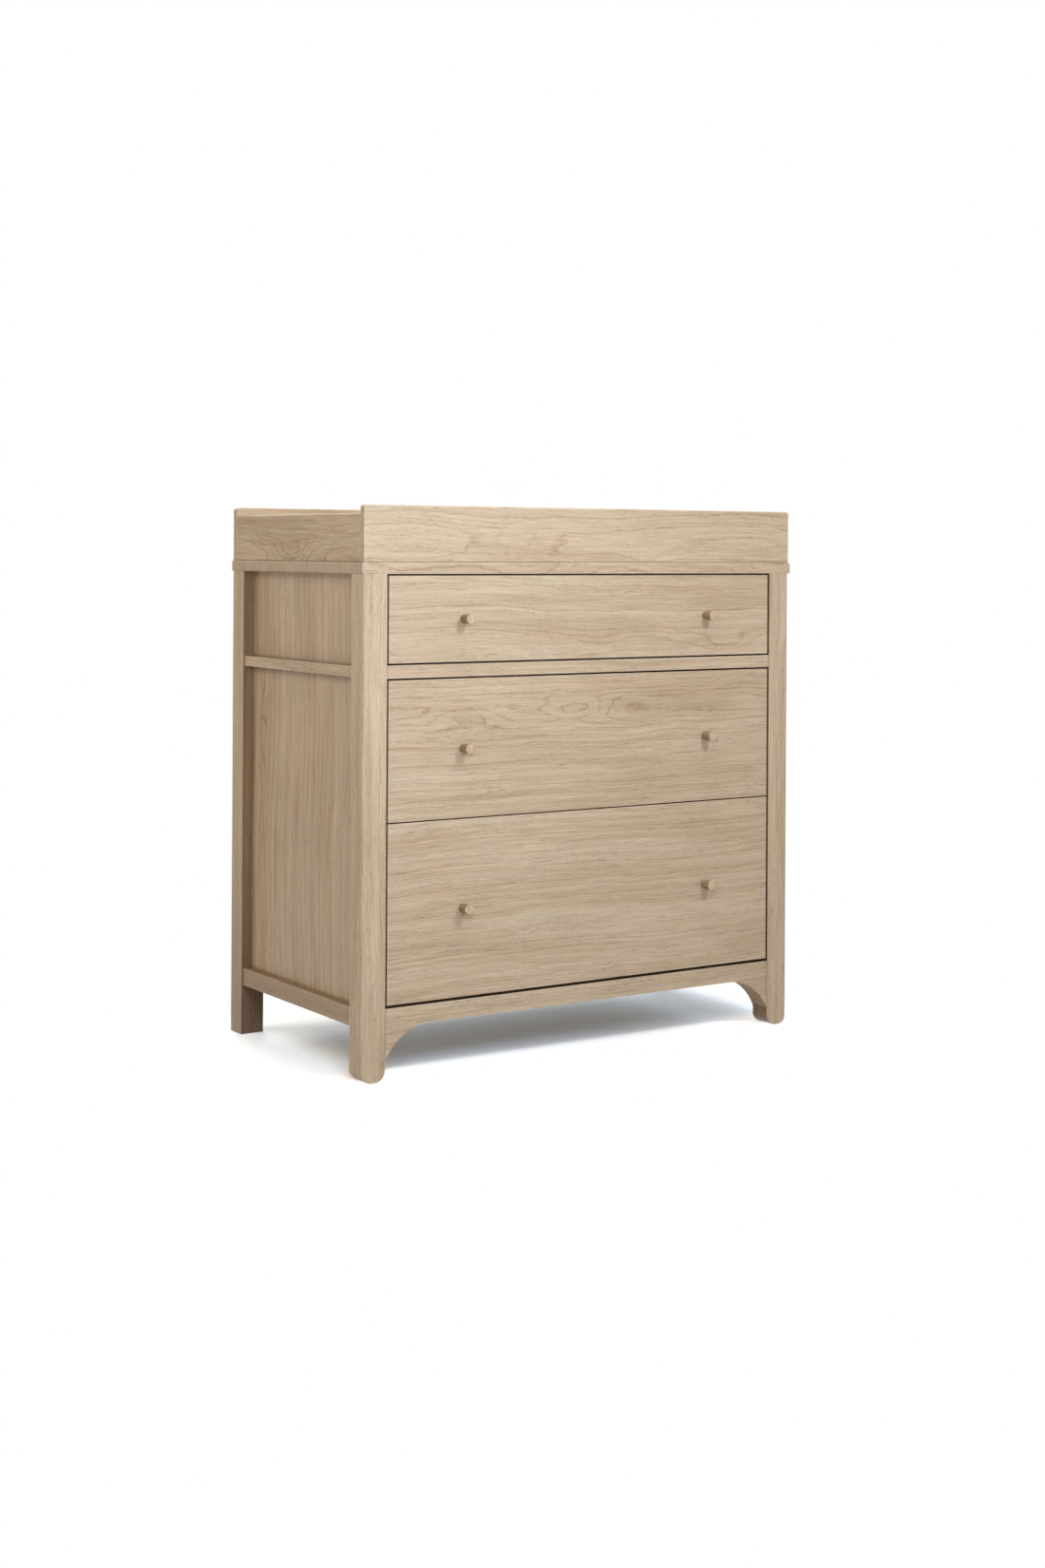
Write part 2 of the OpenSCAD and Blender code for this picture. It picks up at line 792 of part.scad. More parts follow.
// A knob: a tapered peg with a rounded rim and a blind hole for its screw
module knob() {
  hole_r = knob_screw_dia / 2 + hole_play;
  hole_len = knob_screw_in + screw_end_room;
  rotate_extrude() {
    difference() {
      polygon([
        [0, 0], [knob_base / 2, 0], [knob_face / 2, knob_len - knob_edge_r],
        [knob_face / 2 - knob_edge_r, knob_len], [0, knob_len]
      ]);
      square([hole_r, hole_len]);
    }
    translate([knob_face / 2 - knob_edge_r, knob_len - knob_edge_r]) circle(knob_edge_r);
  }
}
module drawer_knobs(i) {
  color(oak) place() knob_spots(i) knob();
}

// A knob's machine screw, its head on the drawer front's inner face
module knob_screw() {
  head_dia = 2 * knob_screw_dia;
  head_h = knob_screw_dia / 2;
  translate([0, 0, -front_t]) cylinder(d = knob_screw_dia, h = front_t + knob_screw_in);
  translate([0, 0, -front_t - head_h]) cylinder(d = head_dia, h = head_h);
}
module drawer_screws(i) {
  color(zinc) place() {
    knob_spots(i) knob_screw();
    drawer_screw_spots(i) wood_screw(slide_screw_len);
  }
}

// ---------- what is drawn ----------

front_leg(LEFT);  // front_left_leg
front_leg(RIGHT);  // front_right_leg
rear_leg(LEFT);  // rear_left_leg
rear_leg(RIGHT);  // rear_right_leg
side_panel(LEFT);  // left_side_panel
side_panel(RIGHT);  // right_side_panel
side_rail(LEFT, side_rail_z, side_rail_h);  // left_middle_rail
side_rail(RIGHT, side_rail_z, side_rail_h);  // right_middle_rail
side_rail(LEFT, base_z, base_h);  // left_base_rail
side_rail(RIGHT, base_z, base_h);  // right_base_rail
runner_battens(LEFT);  // left_runner_battens
runner_battens(RIGHT);  // right_runner_battens
front_top_rail();
rear_top_rail();
front_divider_rail();
front_apron();
back_base_rail();
back_panel();
top_panel();
tray_long_board(0);  // tray_front_board
tray_long_board(chest_d - tray_t);  // tray_back_board
tray_side_board(LEFT);  // tray_left_board
tray_side_board(RIGHT);  // tray_right_board
tray_fixing_plates();
wall_anchor_bracket();
back_screws();
top_fixing_screws();
wooden_dowels();
cabinet_slide_members();
cabinet_slide_screws();
for (i = [TOP, MIDDLE, BOTTOM]) {
  name = DRAWERS[i];
  middle_members(i);
  drawer_front(i);
  drawer_side(i, LEFT);
  drawer_side(i, RIGHT);
  drawer_back(i);
  drawer_bottom(i);
  drawer_knobs(i);
  drawer_slide_members(i);
  drawer_screws(i);
  drawer_dowel_set(i);
}
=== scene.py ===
"""The looks of a nursery chest with a changing tray: pale oak outside, birch drawers inside.

Everything is in metres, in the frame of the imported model: +Z up, -Y to the front.
Each board is given its own piece of the log, so that its grain runs the way it was sawn.
"""

import json
import math
from collections import namedtuple
from functools import partialmethod

import bmesh
import bpy
import numpy as np
from mathutils import Matrix, Vector
from mathutils.geometry import delaunay_2d_cdt

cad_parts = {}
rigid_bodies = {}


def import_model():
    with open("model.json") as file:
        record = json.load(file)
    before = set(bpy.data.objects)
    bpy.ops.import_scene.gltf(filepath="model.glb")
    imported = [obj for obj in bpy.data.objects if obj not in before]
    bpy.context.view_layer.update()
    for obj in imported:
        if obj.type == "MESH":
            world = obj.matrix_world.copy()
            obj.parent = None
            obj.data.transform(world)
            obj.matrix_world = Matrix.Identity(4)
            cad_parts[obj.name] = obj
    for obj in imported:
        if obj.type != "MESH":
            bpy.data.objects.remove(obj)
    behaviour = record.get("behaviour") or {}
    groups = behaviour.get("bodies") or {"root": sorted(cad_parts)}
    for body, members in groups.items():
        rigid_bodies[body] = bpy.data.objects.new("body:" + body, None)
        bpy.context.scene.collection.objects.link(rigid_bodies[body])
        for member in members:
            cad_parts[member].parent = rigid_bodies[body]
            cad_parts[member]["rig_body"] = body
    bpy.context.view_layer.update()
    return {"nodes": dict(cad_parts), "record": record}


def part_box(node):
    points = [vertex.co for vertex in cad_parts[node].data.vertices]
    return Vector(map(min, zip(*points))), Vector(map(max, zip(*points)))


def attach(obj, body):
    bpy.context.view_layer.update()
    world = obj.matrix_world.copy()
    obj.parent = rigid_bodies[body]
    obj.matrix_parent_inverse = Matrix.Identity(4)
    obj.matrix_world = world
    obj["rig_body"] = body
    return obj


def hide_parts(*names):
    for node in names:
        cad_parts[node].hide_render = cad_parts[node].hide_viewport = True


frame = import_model()
bpy.context.scene.view_settings.view_transform = "Standard"

# ---- camera ----

SENSOR = 36.0
LENS = 50.33
EYE = Vector((-2.268, -3.4665, 0.903))
HEADING = 0.582
TILT = 0.0058
DROP = 0.1496


def make_camera():
    """A level camera, front left of the chest; the lens is shifted down to frame the legs."""
    data = bpy.data.cameras.new("camera")
    data.sensor_width = SENSOR
    data.lens = LENS
    data.shift_y = -DROP
    camera = bpy.data.objects.new("camera", data)
    camera.location = EYE
    turn = Matrix.Rotation(-HEADING, 4, "Z") @ Matrix.Rotation(math.pi / 2, 4, "X")
    camera.rotation_euler = (turn @ Matrix.Rotation(TILT, 4, "Z")).to_euler()
    bpy.context.scene.collection.objects.link(camera)
    bpy.context.scene.camera = camera


make_camera()

# ---- colours and node trees ----

WHITE = (1.0, 1.0, 1.0, 1.0)
MID_GREY = (0.5, 0.5, 0.5)


def shades(codes):
    """Colours written as on a paint chart, '#rrggbb', as linear light."""
    levels = [[int(code[i : i + 2], 16) / 255 for i in (1, 3, 5)] for code in codes.split()]
    linear = [[x / 12.92 if x < 0.04045 else ((x + 0.055) / 1.055) ** 2.4 for x in three] for three in levels]
    return [(*three, 1.0) for three in linear]


class Tree:
    """Adds nodes to one node tree. An input's value is a number, a colour or another node's output."""

    def __init__(self, tree):
        self.tree = tree

    def add(self, kind, *values, **settings):
        """A node with those settings and first inputs; None leaves an input alone."""
        node = self.tree.nodes.new(kind)
        for name, value in settings.items():
            setattr(node, name, value)
        for slot, value in enumerate(values):
            self.join(node.inputs[slot], value)
        return node

    def join(self, socket, value):
        """Links the socket to another node's output, or sets its value."""
        if isinstance(value, bpy.types.NodeSocket):
            self.tree.links.new(value, socket)
        elif value is not None:
            socket.default_value = value

    def maths(self, operation, *values, clamp=False):
        return self.add("ShaderNodeMath", *values, operation=operation, use_clamp=clamp).outputs[0]

    plus = partialmethod(maths, "ADD")
    less = partialmethod(maths, "SUBTRACT")
    times = partialmethod(maths, "MULTIPLY")
    times_plus = partialmethod(maths, "MULTIPLY_ADD")
    over = partialmethod(maths, "DIVIDE")
    larger = partialmethod(maths, "MAXIMUM")
    smaller = partialmethod(maths, "MINIMUM")
    size = partialmethod(maths, "ABSOLUTE")

    def vector(self, operation, *values):
        node = self.add("ShaderNodeVectorMath", *values, operation=operation)
        return node.outputs["Value" if operation in ("LENGTH", "DOT_PRODUCT") else "Vector"]

    def scaled(self, vector, factor):
        return self.vector("SCALE", vector, None, None, factor)

    def centred(self, colour):
        """A noise colour as a vector that goes either way from 0."""
        return self.vector("SUBTRACT", colour, MID_GREY)

    def split(self, vector):
        return self.add("ShaderNodeSeparateXYZ", vector).outputs

    def whole(self, x, y, z):
        return self.add("ShaderNodeCombineXYZ", x, y, z).outputs[0]

    def even(self, value):
        """A vector or a grey with the same value three times."""
        return self.whole(value, value, value)

    def noise(self, vector, detail=2.0, roughness=0.5):
        """Noise at the scale that the vector already has: (value, colour)."""
        node = self.add("ShaderNodeTexNoise", vector, None, 1.0, detail, roughness)
        return node.outputs["Fac"], node.outputs["Color"]

    def pattern(self, point, scale, lift, detail=2.0, roughness=0.6):
        """Noise stretched to that many cycles a metre on each axis, and moved: (value, colour)."""
        return self.noise(self.vector("MULTIPLY_ADD", point, scale, lift), detail, roughness)

    def span(self, value, low, high, start=0.0, end=1.0):
        """value from low to high becomes start to end, with soft ends. A named row of two or four
        numbers below is low and high, or all four."""
        ends = (value, low, high, start, end)
        return self.add("ShaderNodeMapRange", *ends, interpolation_type="SMOOTHSTEP").outputs[0]

    def mix(self, factor, first, second, blend="MIX"):
        """The first colour, going to the second, or to the blend of both, as the factor goes to 1."""
        node = self.add("ShaderNodeMix", factor, data_type="RGBA", blend_type=blend)
        self.join(node.inputs[6], first)
        self.join(node.inputs[7], second)
        return node.outputs[2]

    def toned(self, colour, tone):
        """The colour times a tone: darker under 1, paler over 1."""
        return self.mix(1.0, colour, self.even(tone), blend="MULTIPLY")


def emptied(owner):
    """A material's or a world's node tree, started afresh."""
    owner.use_nodes = True
    owner.node_tree.nodes.clear()
    return Tree(owner.node_tree)


def group(name, vectors, values, build):
    """A shader node group: build takes its inputs by name and gives its outputs, plain values."""
    tree = bpy.data.node_groups.new(name, "ShaderNodeTree")
    for words, kind in ((vectors, "NodeSocketVector"), (values, "NodeSocketFloat")):
        for word in words:
            tree.interface.new_socket(name=word, in_out="INPUT", socket_type=kind)
    work = Tree(tree)
    result = build(work, work.add("NodeGroupInput").outputs)
    for word in result:
        tree.interface.new_socket(name=word, in_out="OUTPUT", socket_type="NodeSocketFloat")
    work.add("NodeGroupOutput", *result.values())
    return tree


def place_group(work, tree, **values):
    """A group placed in a material; underscores in its inputs' names stand for spaces."""
    node = work.add("ShaderNodeGroup", node_tree=tree)
    for word, value in values.items():
        work.join(node.inputs[word.replace("_", " ")], value)
    return node.outputs


def new_material(name):
    """An empty material: its tree, its Principled shader and its texture coordinates."""
    material = bpy.data.materials.new(name)
    work = emptied(material)
    shader = work.add("ShaderNodeBsdfPrincipled")
    work.add("ShaderNodeOutputMaterial", shader.outputs[0])
    return material, work, shader, work.add("ShaderNodeTexCoord").outputs


def set_surface(work, shader, colour, rough, height, depth):
    """A shader's colour and roughness, and a relief of that depth in metres for heights to 1."""
    relief = work.add("ShaderNodeBump")
    for socket, value in (("Strength", 1.0), ("Distance", depth), ("Height", height)):
        work.join(relief.inputs[socket], value)
    sockets = {"Base Color": colour, "Roughness": rough, "Normal": relief.outputs[0]}
    for socket, value in sockets.items():
        work.join(shader.inputs[socket], value)


def wear(node, material):
    """Gives a CAD node its material."""
    slots = frame["nodes"][node].data.materials
    slots.clear()
    slots.append(material)


# ---- what all the wood shares ----

# Cycles a metre of the pith's wander, of the rings' ripple, and of the good and poor years, which
# move the rings by up to YEARS_SHIFT rings.
PITH_WANDER = 2.1
RIPPLE_SCALE = (9.0, 30.0, 30.0)
YEARS_SCALE = 60.0
YEARS_SHIFT = 2.4
EYE_LONG = 0.075
EYE_HIGH = 0.018
# Over which parts of a ring its line comes and goes, and how strong the lines are.
LINE_COMES = (0.0, 0.08)
LINE_GOES = (0.12, 0.42, 1.0, 0.0)
LINE_STRENGTH = (0.0, 1.0, 0.25, 1.0)
# Cycles a metre along the grain and across it, layers of detail, and how rough they are.
STREAKS = (3.5, 105.0, 4.0, 0.62)
FINE_FIBRES = (13.0, 380.0, 3.0, 0.60)
SHORT_PORES = (70.0, 1500.0, 1.0, 0.55)
LONG_PORES = (26.0, 640.0, 1.0, 0.55)
SLOW_PATCHES = (2.2, 14.0, 2.0, 0.55)
PORE_CROWDS = (7.0, 60.0, 1.0, 0.55)
LINE_PORES = 0.07
CROWD_PORES = (0.35, 0.65, -0.05, 0.03)
SHORT_PORE_EDGE = (0.60, 0.70, 0.0, 0.8)
LONG_PORE_EDGE = (0.66, 0.76)


def build_rings(work, given):
    """Growth rings round a pith that wanders: a point's distance from the pith over the ring width
    counts its rings, and an eye adds a soft hump to that distance, so that rings close round it.
    Line is a ring's thin dark start, Rise how far through the ring a point is, and Year the ring's
    own tone. Also gives the board's coordinates, bent along its grain."""
    u, v, w = work.split(given["Board"])
    seed = given["Seed"]
    slow = work.whole(work.times_plus(u, PITH_WANDER, seed), seed, 0.0)
    wander = work.centred(work.noise(slow, 1.5)[1])
    side, depth, _ = work.split(work.scaled(wander, given["Sway"]))
    ripple = work.centred(work.pattern(given["Board"], RIPPLE_SCALE, work.even(seed), 3.0)[1])
    ripple_v, ripple_w, _ = work.split(work.scaled(ripple, given["Ripple"]))
    dv = work.plus(work.less(v, given["Pith Side"]), work.plus(side, ripple_v))
    dw = work.plus(work.less(w, given["Pith Depth"]), work.plus(depth, ripple_w))
    flow = work.whole(u, dv, dw)
    reach = work.vector("LENGTH", work.whole(0.0, dv, dw))
    for name in ("First Eye", "Second Eye"):
        eye_u, eye_v, rise = work.split(given[name])
        du = work.over(work.less(u, eye_u), EYE_LONG)
        dv = work.over(work.less(work.plus(v, ripple_v), eye_v), EYE_HIGH)
        from_eye = work.whole(du, dv, 0.0)
        square = work.vector("DOT_PRODUCT", from_eye, from_eye)
        hump = work.maths("EXPONENT", work.times(square, -1.0))
        reach = work.times_plus(hump, rise, reach)
    years = work.noise(work.whole(work.times(reach, YEARS_SCALE), seed, 0.0), 1.0)[0]
    rings = work.plus(work.over(reach, given["Ring Width"]), work.times(years, YEARS_SHIFT))
    phase = work.maths("FRACT", rings)
    own = work.whole(work.maths("FLOOR", rings), seed, 0.0)
    own = work.add("ShaderNodeTexWhiteNoise", own, noise_dimensions="2D").outputs["Value"]
    line = work.times(work.span(phase, *LINE_COMES), work.span(phase, *LINE_GOES))
    line = work.times(line, work.span(own, *LINE_STRENGTH))
    return {"Line": line, "Rise": phase, "Year": own}, flow


def build_grain(work, given):
    """A board's rings, with streaks, fine fibres and open pores drawn out along its grain, and slow
    patches of tone and hue. Pores gather along the rings' dark lines."""
    rings, flow = build_rings(work, given)
    lift = work.even(given["Seed"])

    def drawn_out(along, across, detail, roughness):
        return work.pattern(flow, (along, across, across), lift, detail, roughness)

    tone, hue = drawn_out(*SLOW_PATCHES)
    crowd = work.span(drawn_out(*PORE_CROWDS)[0], *CROWD_PORES)
    gather = work.times_plus(rings["Line"], LINE_PORES, crowd)
    short = work.span(work.plus(drawn_out(*SHORT_PORES)[0], gather), *SHORT_PORE_EDGE)
    long = work.span(work.plus(drawn_out(*LONG_PORES)[0], gather), *LONG_PORE_EDGE)
    return {
        **rings, "Streak": drawn_out(*STREAKS)[0], "Fine": drawn_out(*FINE_FIBRES)[0],
        "Pores": work.larger(short, long), "Tone": tone, "Hue": work.split(hue)[1],
    }


GRAIN = group(
    "wood grain", ("Board", "First Eye", "Second Eye"),
    ("Pith Side", "Pith Depth", "Ring Width", "Sway", "Ripple", "Seed"), build_grain,
)

# A painted highlight along the boards' edges: how patchy it is and how it fades from the edge.
EDGE_PATCH_SCALE = 40.0
EDGE_UNEVEN = (0.3, 0.7, 0.6, 1.4)
EDGE_FADE = (0.35, 1.0, 1.0, 0.0)


def build_edges(work, given):
    """1 on a board's edges, 0 at about Width from them, and uneven: the second smallest of a point's
    distances to the board's three pairs of faces is its distance to the nearest edge."""
    low = work.vector("SUBTRACT", given["Point"], given["Low"])
    high = work.vector("SUBTRACT", given["High"], given["Point"])
    a, b, c = work.split(work.vector("MINIMUM", low, high))
    second = work.larger(work.smaller(a, b), work.smaller(work.larger(a, b), c))
    patchy = work.noise(work.scaled(given["Point"], EDGE_PATCH_SCALE), 2.0)[0]
    width = work.times(given["Width"], work.span(patchy, *EDGE_UNEVEN))
    return {"Edge": work.span(work.over(second, width), *EDGE_FADE)}


EDGES = group("eased edges", ("Point", "Low", "High"), ("Width",), build_edges)

AXES = {"x": Vector((1, 0, 0)), "y": Vector((0, 1, 0)), "z": Vector((0, 0, 1))}


def board_space(work, point, node, along, across):
    """A board's own coordinates: along its grain, across its face and through it, from its middle."""
    low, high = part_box(node)
    through = AXES[along].cross(AXES[across])
    turn = Matrix((AXES[along], AXES[across], through)).transposed()
    mapping = work.add("ShaderNodeMapping", point, vector_type="TEXTURE")
    mapping.inputs["Location"].default_value = (low + high) / 2
    mapping.inputs["Rotation"].default_value = turn.to_euler()
    return mapping.outputs[0]


# ---- timber ----

# What a kind of timber looks like: its pale and dark wood, its pores, two hues that drift through
# it, and how strong those hues, the ring lines, the streaks, the slow tone and the pores are.
Timber = namedtuple("Timber", "name pale dark pore warm cool hues line streak tone pores gloss end_grain")
OAK = Timber(
    "oak", *shades("#d2bea1 #b49a79 #84684b #cfb49a #c9bb9b"),
    hues=0.40, line=0.42, streak=0.36, tone=0.22, pores=0.52, gloss=0.40, end_grain=0.90,
)
BIRCH = Timber(
    "birch", *shades("#e6d9be #cfb68f #b08f63 #e4d0b2 #dfd3b0"),
    hues=0.40, line=0.20, streak=0.32, tone=0.16, pores=0.16, gloss=0.46, end_grain=0.80,
)
BEECH = Timber(
    "beech", *shades("#dcbd94 #c39c6e #9a6f45 #dbb48d #d5ba8c"),
    hues=0.40, line=0.25, streak=0.30, tone=0.16, pores=0.50, gloss=0.50, end_grain=0.75,
)
# A turned knob's grain runs out of the drawer. Its turned side is darker with painted shade,
# and its end grain tone brings its face back as pale as the front.
SHADED_KNOB_OAK = Timber(
    "turned_oak", *shades("#9e8b71 #7e684d #5c4733 #99816a #948774"),
    hues=0.36, line=0.42, streak=0.42, tone=0.20, pores=0.25, gloss=0.40, end_grain=2.08,
)

# How a board was sawn: the directions of its length and its face, where the pith lies from its
# middle (across the face, and through it), the ring width, how far the pith wanders, a seed, up
# to two eyes in its figure (along, across, and how high the hump is), how bold the figure is, and
# how far the rings ripple.
CUT_WORDS = "along across side depth ring sway seed eyes bold ripple"
Cut = namedtuple("Cut", CUT_WORDS, defaults=((), 1.0, 0.009))
NO_EYE = (0.0, 0.0, 0.0)

OAK_CUTS = {
    "top_drawer_front": Cut("x", "z", -0.06, -0.04, 0.0042, 0.045, 3.0, ((0.315, -0.05, 0.012),), 1.1),
    "middle_drawer_front": Cut(
        "x", "z", 0.06, -0.036, 0.0044, 0.04, 11.0, ((-0.03, 0.062, 0.012), (-0.26, 0.054, 0.01)), 1.15
    ),
    "bottom_drawer_front": Cut(
        "x", "z", -0.23, -0.06, 0.0048, 0.05, 27.0, ((-0.23, -0.01, 0.007), (0.25, 0.09, 0.006)), 1.2
    ),
    "tray_front_board": Cut("x", "z", -0.015, -0.05, 0.0042, 0.04, 41.0, ((-0.16, -0.012, 0.008),), 0.85),
    "tray_back_board": Cut("x", "z", 0.015, -0.045, 0.0045, 0.06, 53.0, ((0.14, 0.01, 0.009),)),
    "tray_left_board": Cut(
        "y", "z", -0.03, -0.026, 0.004, 0.09, 61.0, ((0.02, -0.022, 0.014), (-0.14, 0.006, 0.012)), 1.9
    ),
    "tray_right_board": Cut("y", "z", -0.02, 0.03, 0.004, 0.09, 67.0, ((0.05, 0.0, 0.012),), 1.6),
    "top_panel": Cut(
        "x", "y", 0.04, -0.06, 0.0048, 0.08, 71.0, ((0.1, 0.04, 0.012), (-0.2, 0.03, 0.012))
    ),
    "front_divider_rail": Cut("x", "z", 0.15, -0.05, 0.004, 0.03, 79.0),
    "front_apron": Cut("x", "z", 0.12, -0.06, 0.0045, 0.04, 83.0),
    "left_side_panel": Cut(
        "z", "y", 0.21, -0.09, 0.0052, 0.04, 89.0, ((0.09, 0.17, 0.014),), 1.6, 0.004
    ),
    "right_side_panel": Cut(
        "z", "y", -0.21, 0.09, 0.0052, 0.04, 97.0, ((-0.1, -0.17, 0.014),), 1.6, 0.004
    ),
    "front_left_leg": Cut("z", "x", 0.2, 0.12, 0.0042, 0.03, 103.0, (), 1.3),
    "front_right_leg": Cut("z", "x", -0.22, 0.12, 0.0042, 0.03, 107.0, (), 1.3),
    "rear_left_leg": Cut("z", "x", 0.18, -0.14, 0.0042, 0.03, 109.0, (), 1.3),
    "rear_right_leg": Cut("z", "x", -0.19, -0.14, 0.0042, 0.03, 113.0, (), 1.3),
    "left_middle_rail": Cut("y", "z", 0.12, 0.08, 0.0038, 0.03, 127.0, (), 1.2),
    "right_middle_rail": Cut("y", "z", 0.12, -0.08, 0.0038, 0.03, 131.0, (), 1.2),
    "left_base_rail": Cut("y", "z", -0.11, 0.07, 0.0038, 0.03, 137.0, (), 1.2),
    "right_base_rail": Cut("y", "z", -0.11, -0.07, 0.0038, 0.03, 139.0, (), 1.2),
}
BIRCH_CUTS = {
    "left_runner_battens": Cut("y", "z", 0.3, 0.06, 0.0032, 0.03, 211.0),
    "right_runner_battens": Cut("y", "z", 0.3, -0.06, 0.0032, 0.03, 223.0),
    "front_top_rail": Cut("x", "y", 0.1, -0.05, 0.003, 0.03, 227.0),
    "rear_top_rail": Cut("x", "y", -0.09, -0.05, 0.003, 0.03, 229.0),
    "back_base_rail": Cut("x", "z", 0.08, 0.06, 0.003, 0.03, 233.0),
}
KNOB_CUTS = {}
DOWEL_CUTS = {"wooden_dowels": Cut("x", "z", 0.03, 0.02, 0.002, 0.004, 331.0)}
DRAWERS = ("top", "middle", "bottom")
for count, name in enumerate(drawer + "_drawer_" for drawer in DRAWERS):
    seed = 241.0 + 17 * count
    BIRCH_CUTS[name + "left_side"] = Cut("y", "z", 0.02, 0.045, 0.0034, 0.06, seed)
    BIRCH_CUTS[name + "right_side"] = Cut("y", "z", -0.03, -0.045, 0.0034, 0.06, seed + 5)
    BIRCH_CUTS[name + "back"] = Cut("x", "z", 0.01, 0.05, 0.0034, 0.06, seed + 11)
    KNOB_CUTS[name + "knobs"] = Cut("y", "z", 0.02, 0.02, 0.0022, 0.004, 151.0 + 7 * count)
    DOWEL_CUTS[name + "dowels"] = Cut("y", "z", 0.03, 0.02, 0.002, 0.004, 307.0 + 7 * count)

# Painted shade: faces in the narrow gaps round the drawers are darkened, most of all on the
# frame and less on the front legs below the opening. So are the rear legs' inner faces, the side
# rails' upper faces and the apron's arch. The base rails' side faces are darker too.
FRONT_GAP_SHADE = (0.44, 0.39, 0.33, 1.0)
FRAME_GAP_SHADE = (0.25, 0.21, 0.17, 1.0)
# Painted shade for the rear legs' recessed inner faces and the rails' upper faces.
RECESS_SHADE = (0.49, 0.42, 0.33, 1.0)
DEEP_GAP_SHADE = (0.20, 0.19, 0.20, 1.0)
LOW_FRAME_SHADE = (0.55, 0.47, 0.36, 1.0)
# Painted shade on the apron's arch.
ARCH_SHADE = (0.76, 0.64, 0.48, 1.0)
BASE_RAIL_SIDES = (0.71, 0.66, 0.61, 1.0)
DARK_FACES = {
    "front_divider_rail": {("z",): FRAME_GAP_SHADE},
    "front_apron": {("~y",): ARCH_SHADE, ("+z",): DEEP_GAP_SHADE},
    "front_top_rail": {("-y", "z"): FRAME_GAP_SHADE},
}
for drawer in DRAWERS:
    DARK_FACES[drawer + "_drawer_front"] = {("x", "z"): FRONT_GAP_SHADE}
for hand, inwards in (("left", "+x"), ("right", "-x")):
    DARK_FACES[f"front_{hand}_leg"] = {(inwards,): FRAME_GAP_SHADE}
    DARK_FACES[f"rear_{hand}_leg"] = {("-y",): RECESS_SHADE}
    DARK_FACES[f"{hand}_middle_rail"] = {("+z",): RECESS_SHADE}
    DARK_FACES[f"{hand}_base_rail"] = {("x",): BASE_RAIL_SIDES, ("+z",): RECESS_SHADE}
FACING = (0.75, 0.95)
# How far from an edge a tone starts and ends, and its value before it starts; it ends at 1.
OPENING_EDGE = (-0.0020, -0.0005, 0.0)
# The tones of painted shade: lines in the joints, partly dark joints, the rear legs' feet, and a side panel's
# rim and ledges.
SEAM_TONE = (0.0008, 0.0020, 0.38)
FOOT_TONE = (0.0, 0.38, 0.70)
RIM_TONE = (0.0, 0.019, 0.70)
LEDGE_TONE = (0.0, 0.006, 0.64)


def build_faces(work, given):
    """Masks of the faces that look the way Way points, of those that look either way along it, and
    of those round it."""
    ahead = work.vector("DOT_PRODUCT", given["Normal"], given["Way"])
    either = work.size(ahead)
    facing = {"Ahead": ahead, "Either": either, "Round": work.less(1.0, either)}
    return {name: work.span(value, *FACING) for name, value in facing.items()}


def build_edge_ramp(work, given):
    """The tone beside an edge: Dark up to Near from it, and 1 from Far on."""
    return {"Tone": work.span(given["Distance"], given["Near"], given["Far"], given["Dark"])}


FACES = group("facing masks", ("Normal", "Way"), (), build_faces)
EDGE_RAMP = group("gathered tone", (), ("Distance", "Near", "Far", "Dark"), build_edge_ramp)


def faces(work, normal, ways):
    """1 where the surface faces one of the ways, such as '+z' for the top, 'x' for both sides or
    '~y' for all the faces round the y direction."""
    mask = 0.0
    for way in ways:
        axis = AXES[way[-1]] * (-1.0 if way[0] == "-" else 1.0)
        masks = place_group(work, FACES, Normal=normal, Way=axis)
        kind = {"+": "Ahead", "-": "Ahead", "~": "Round"}.get(way[0], "Either")
        mask = work.larger(masks[kind], mask)
    return mask


def edge_ramp(work, distance, tone):
    near, far, dark = tone
    return place_group(work, EDGE_RAMP, Distance=distance, Near=near, Far=far, Dark=dark)["Tone"]


def opening_mask(work, point):
    """1 at the height of the drawers' opening, from the apron's upper face upwards."""
    above = work.less(work.split(point)[2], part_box("front_apron")[1].z)
    return edge_ramp(work, above, OPENING_EDGE)


def painted_shade_tone(work, point, node):
    """A tone of painted shade: darker lines, partly dark joints, where a tray board stands on the
    top panel and where the front rails meet the legs; the rear legs darker towards their feet; and a side
    panel's rim darker along the rear leg and on top of its rails."""
    x, y, z = work.split(point)
    low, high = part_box(node)
    if node.startswith("tray"):
        return edge_ramp(work, work.less(z, low.z), SEAM_TONE)
    if node in ("front_apron", "front_divider_rail"):
        return edge_ramp(work, work.less(high.x, work.size(x)), SEAM_TONE)
    if node in ("rear_left_leg", "rear_right_leg"):
        return edge_ramp(work, z, FOOT_TONE)
    if not node.endswith("side_panel"):
        return 1.0
    hand = node.split("_")[0]
    tone = edge_ramp(work, work.less(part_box(f"rear_{hand}_leg")[0].y, y), RIM_TONE)
    for rail in ("middle", "base"):
        gap = work.less(z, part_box(f"{hand}_{rail}_rail")[1].z)
        below = work.maths("LESS_THAN", gap, 0.0)
        tone = work.times(tone, work.larger(edge_ramp(work, gap, LEDGE_TONE), below))
    return tone


HUE_DRIFT = (0.36, 0.64)
YEAR_TONE = 0.10
RISE_TONE = 0.10
STREAK_SPAN = (0.35, 0.70)
TONE_SPAN = (0.3, 0.7)
PALER_SIDE = -0.7
FINE_TONE = (0.32, 0.68, 0.91, 1.08)
EDGE_WIDTH = 0.0022
EDGE_HIGHLIGHT = 0.28
GLOSS_SPAN = (0.3, 0.7)
GLOSS_RANGE = 0.08
PORE_MATT = 0.2
FIBRE_RELIEF = 0.35
GRAIN_DEPTH = 0.00012


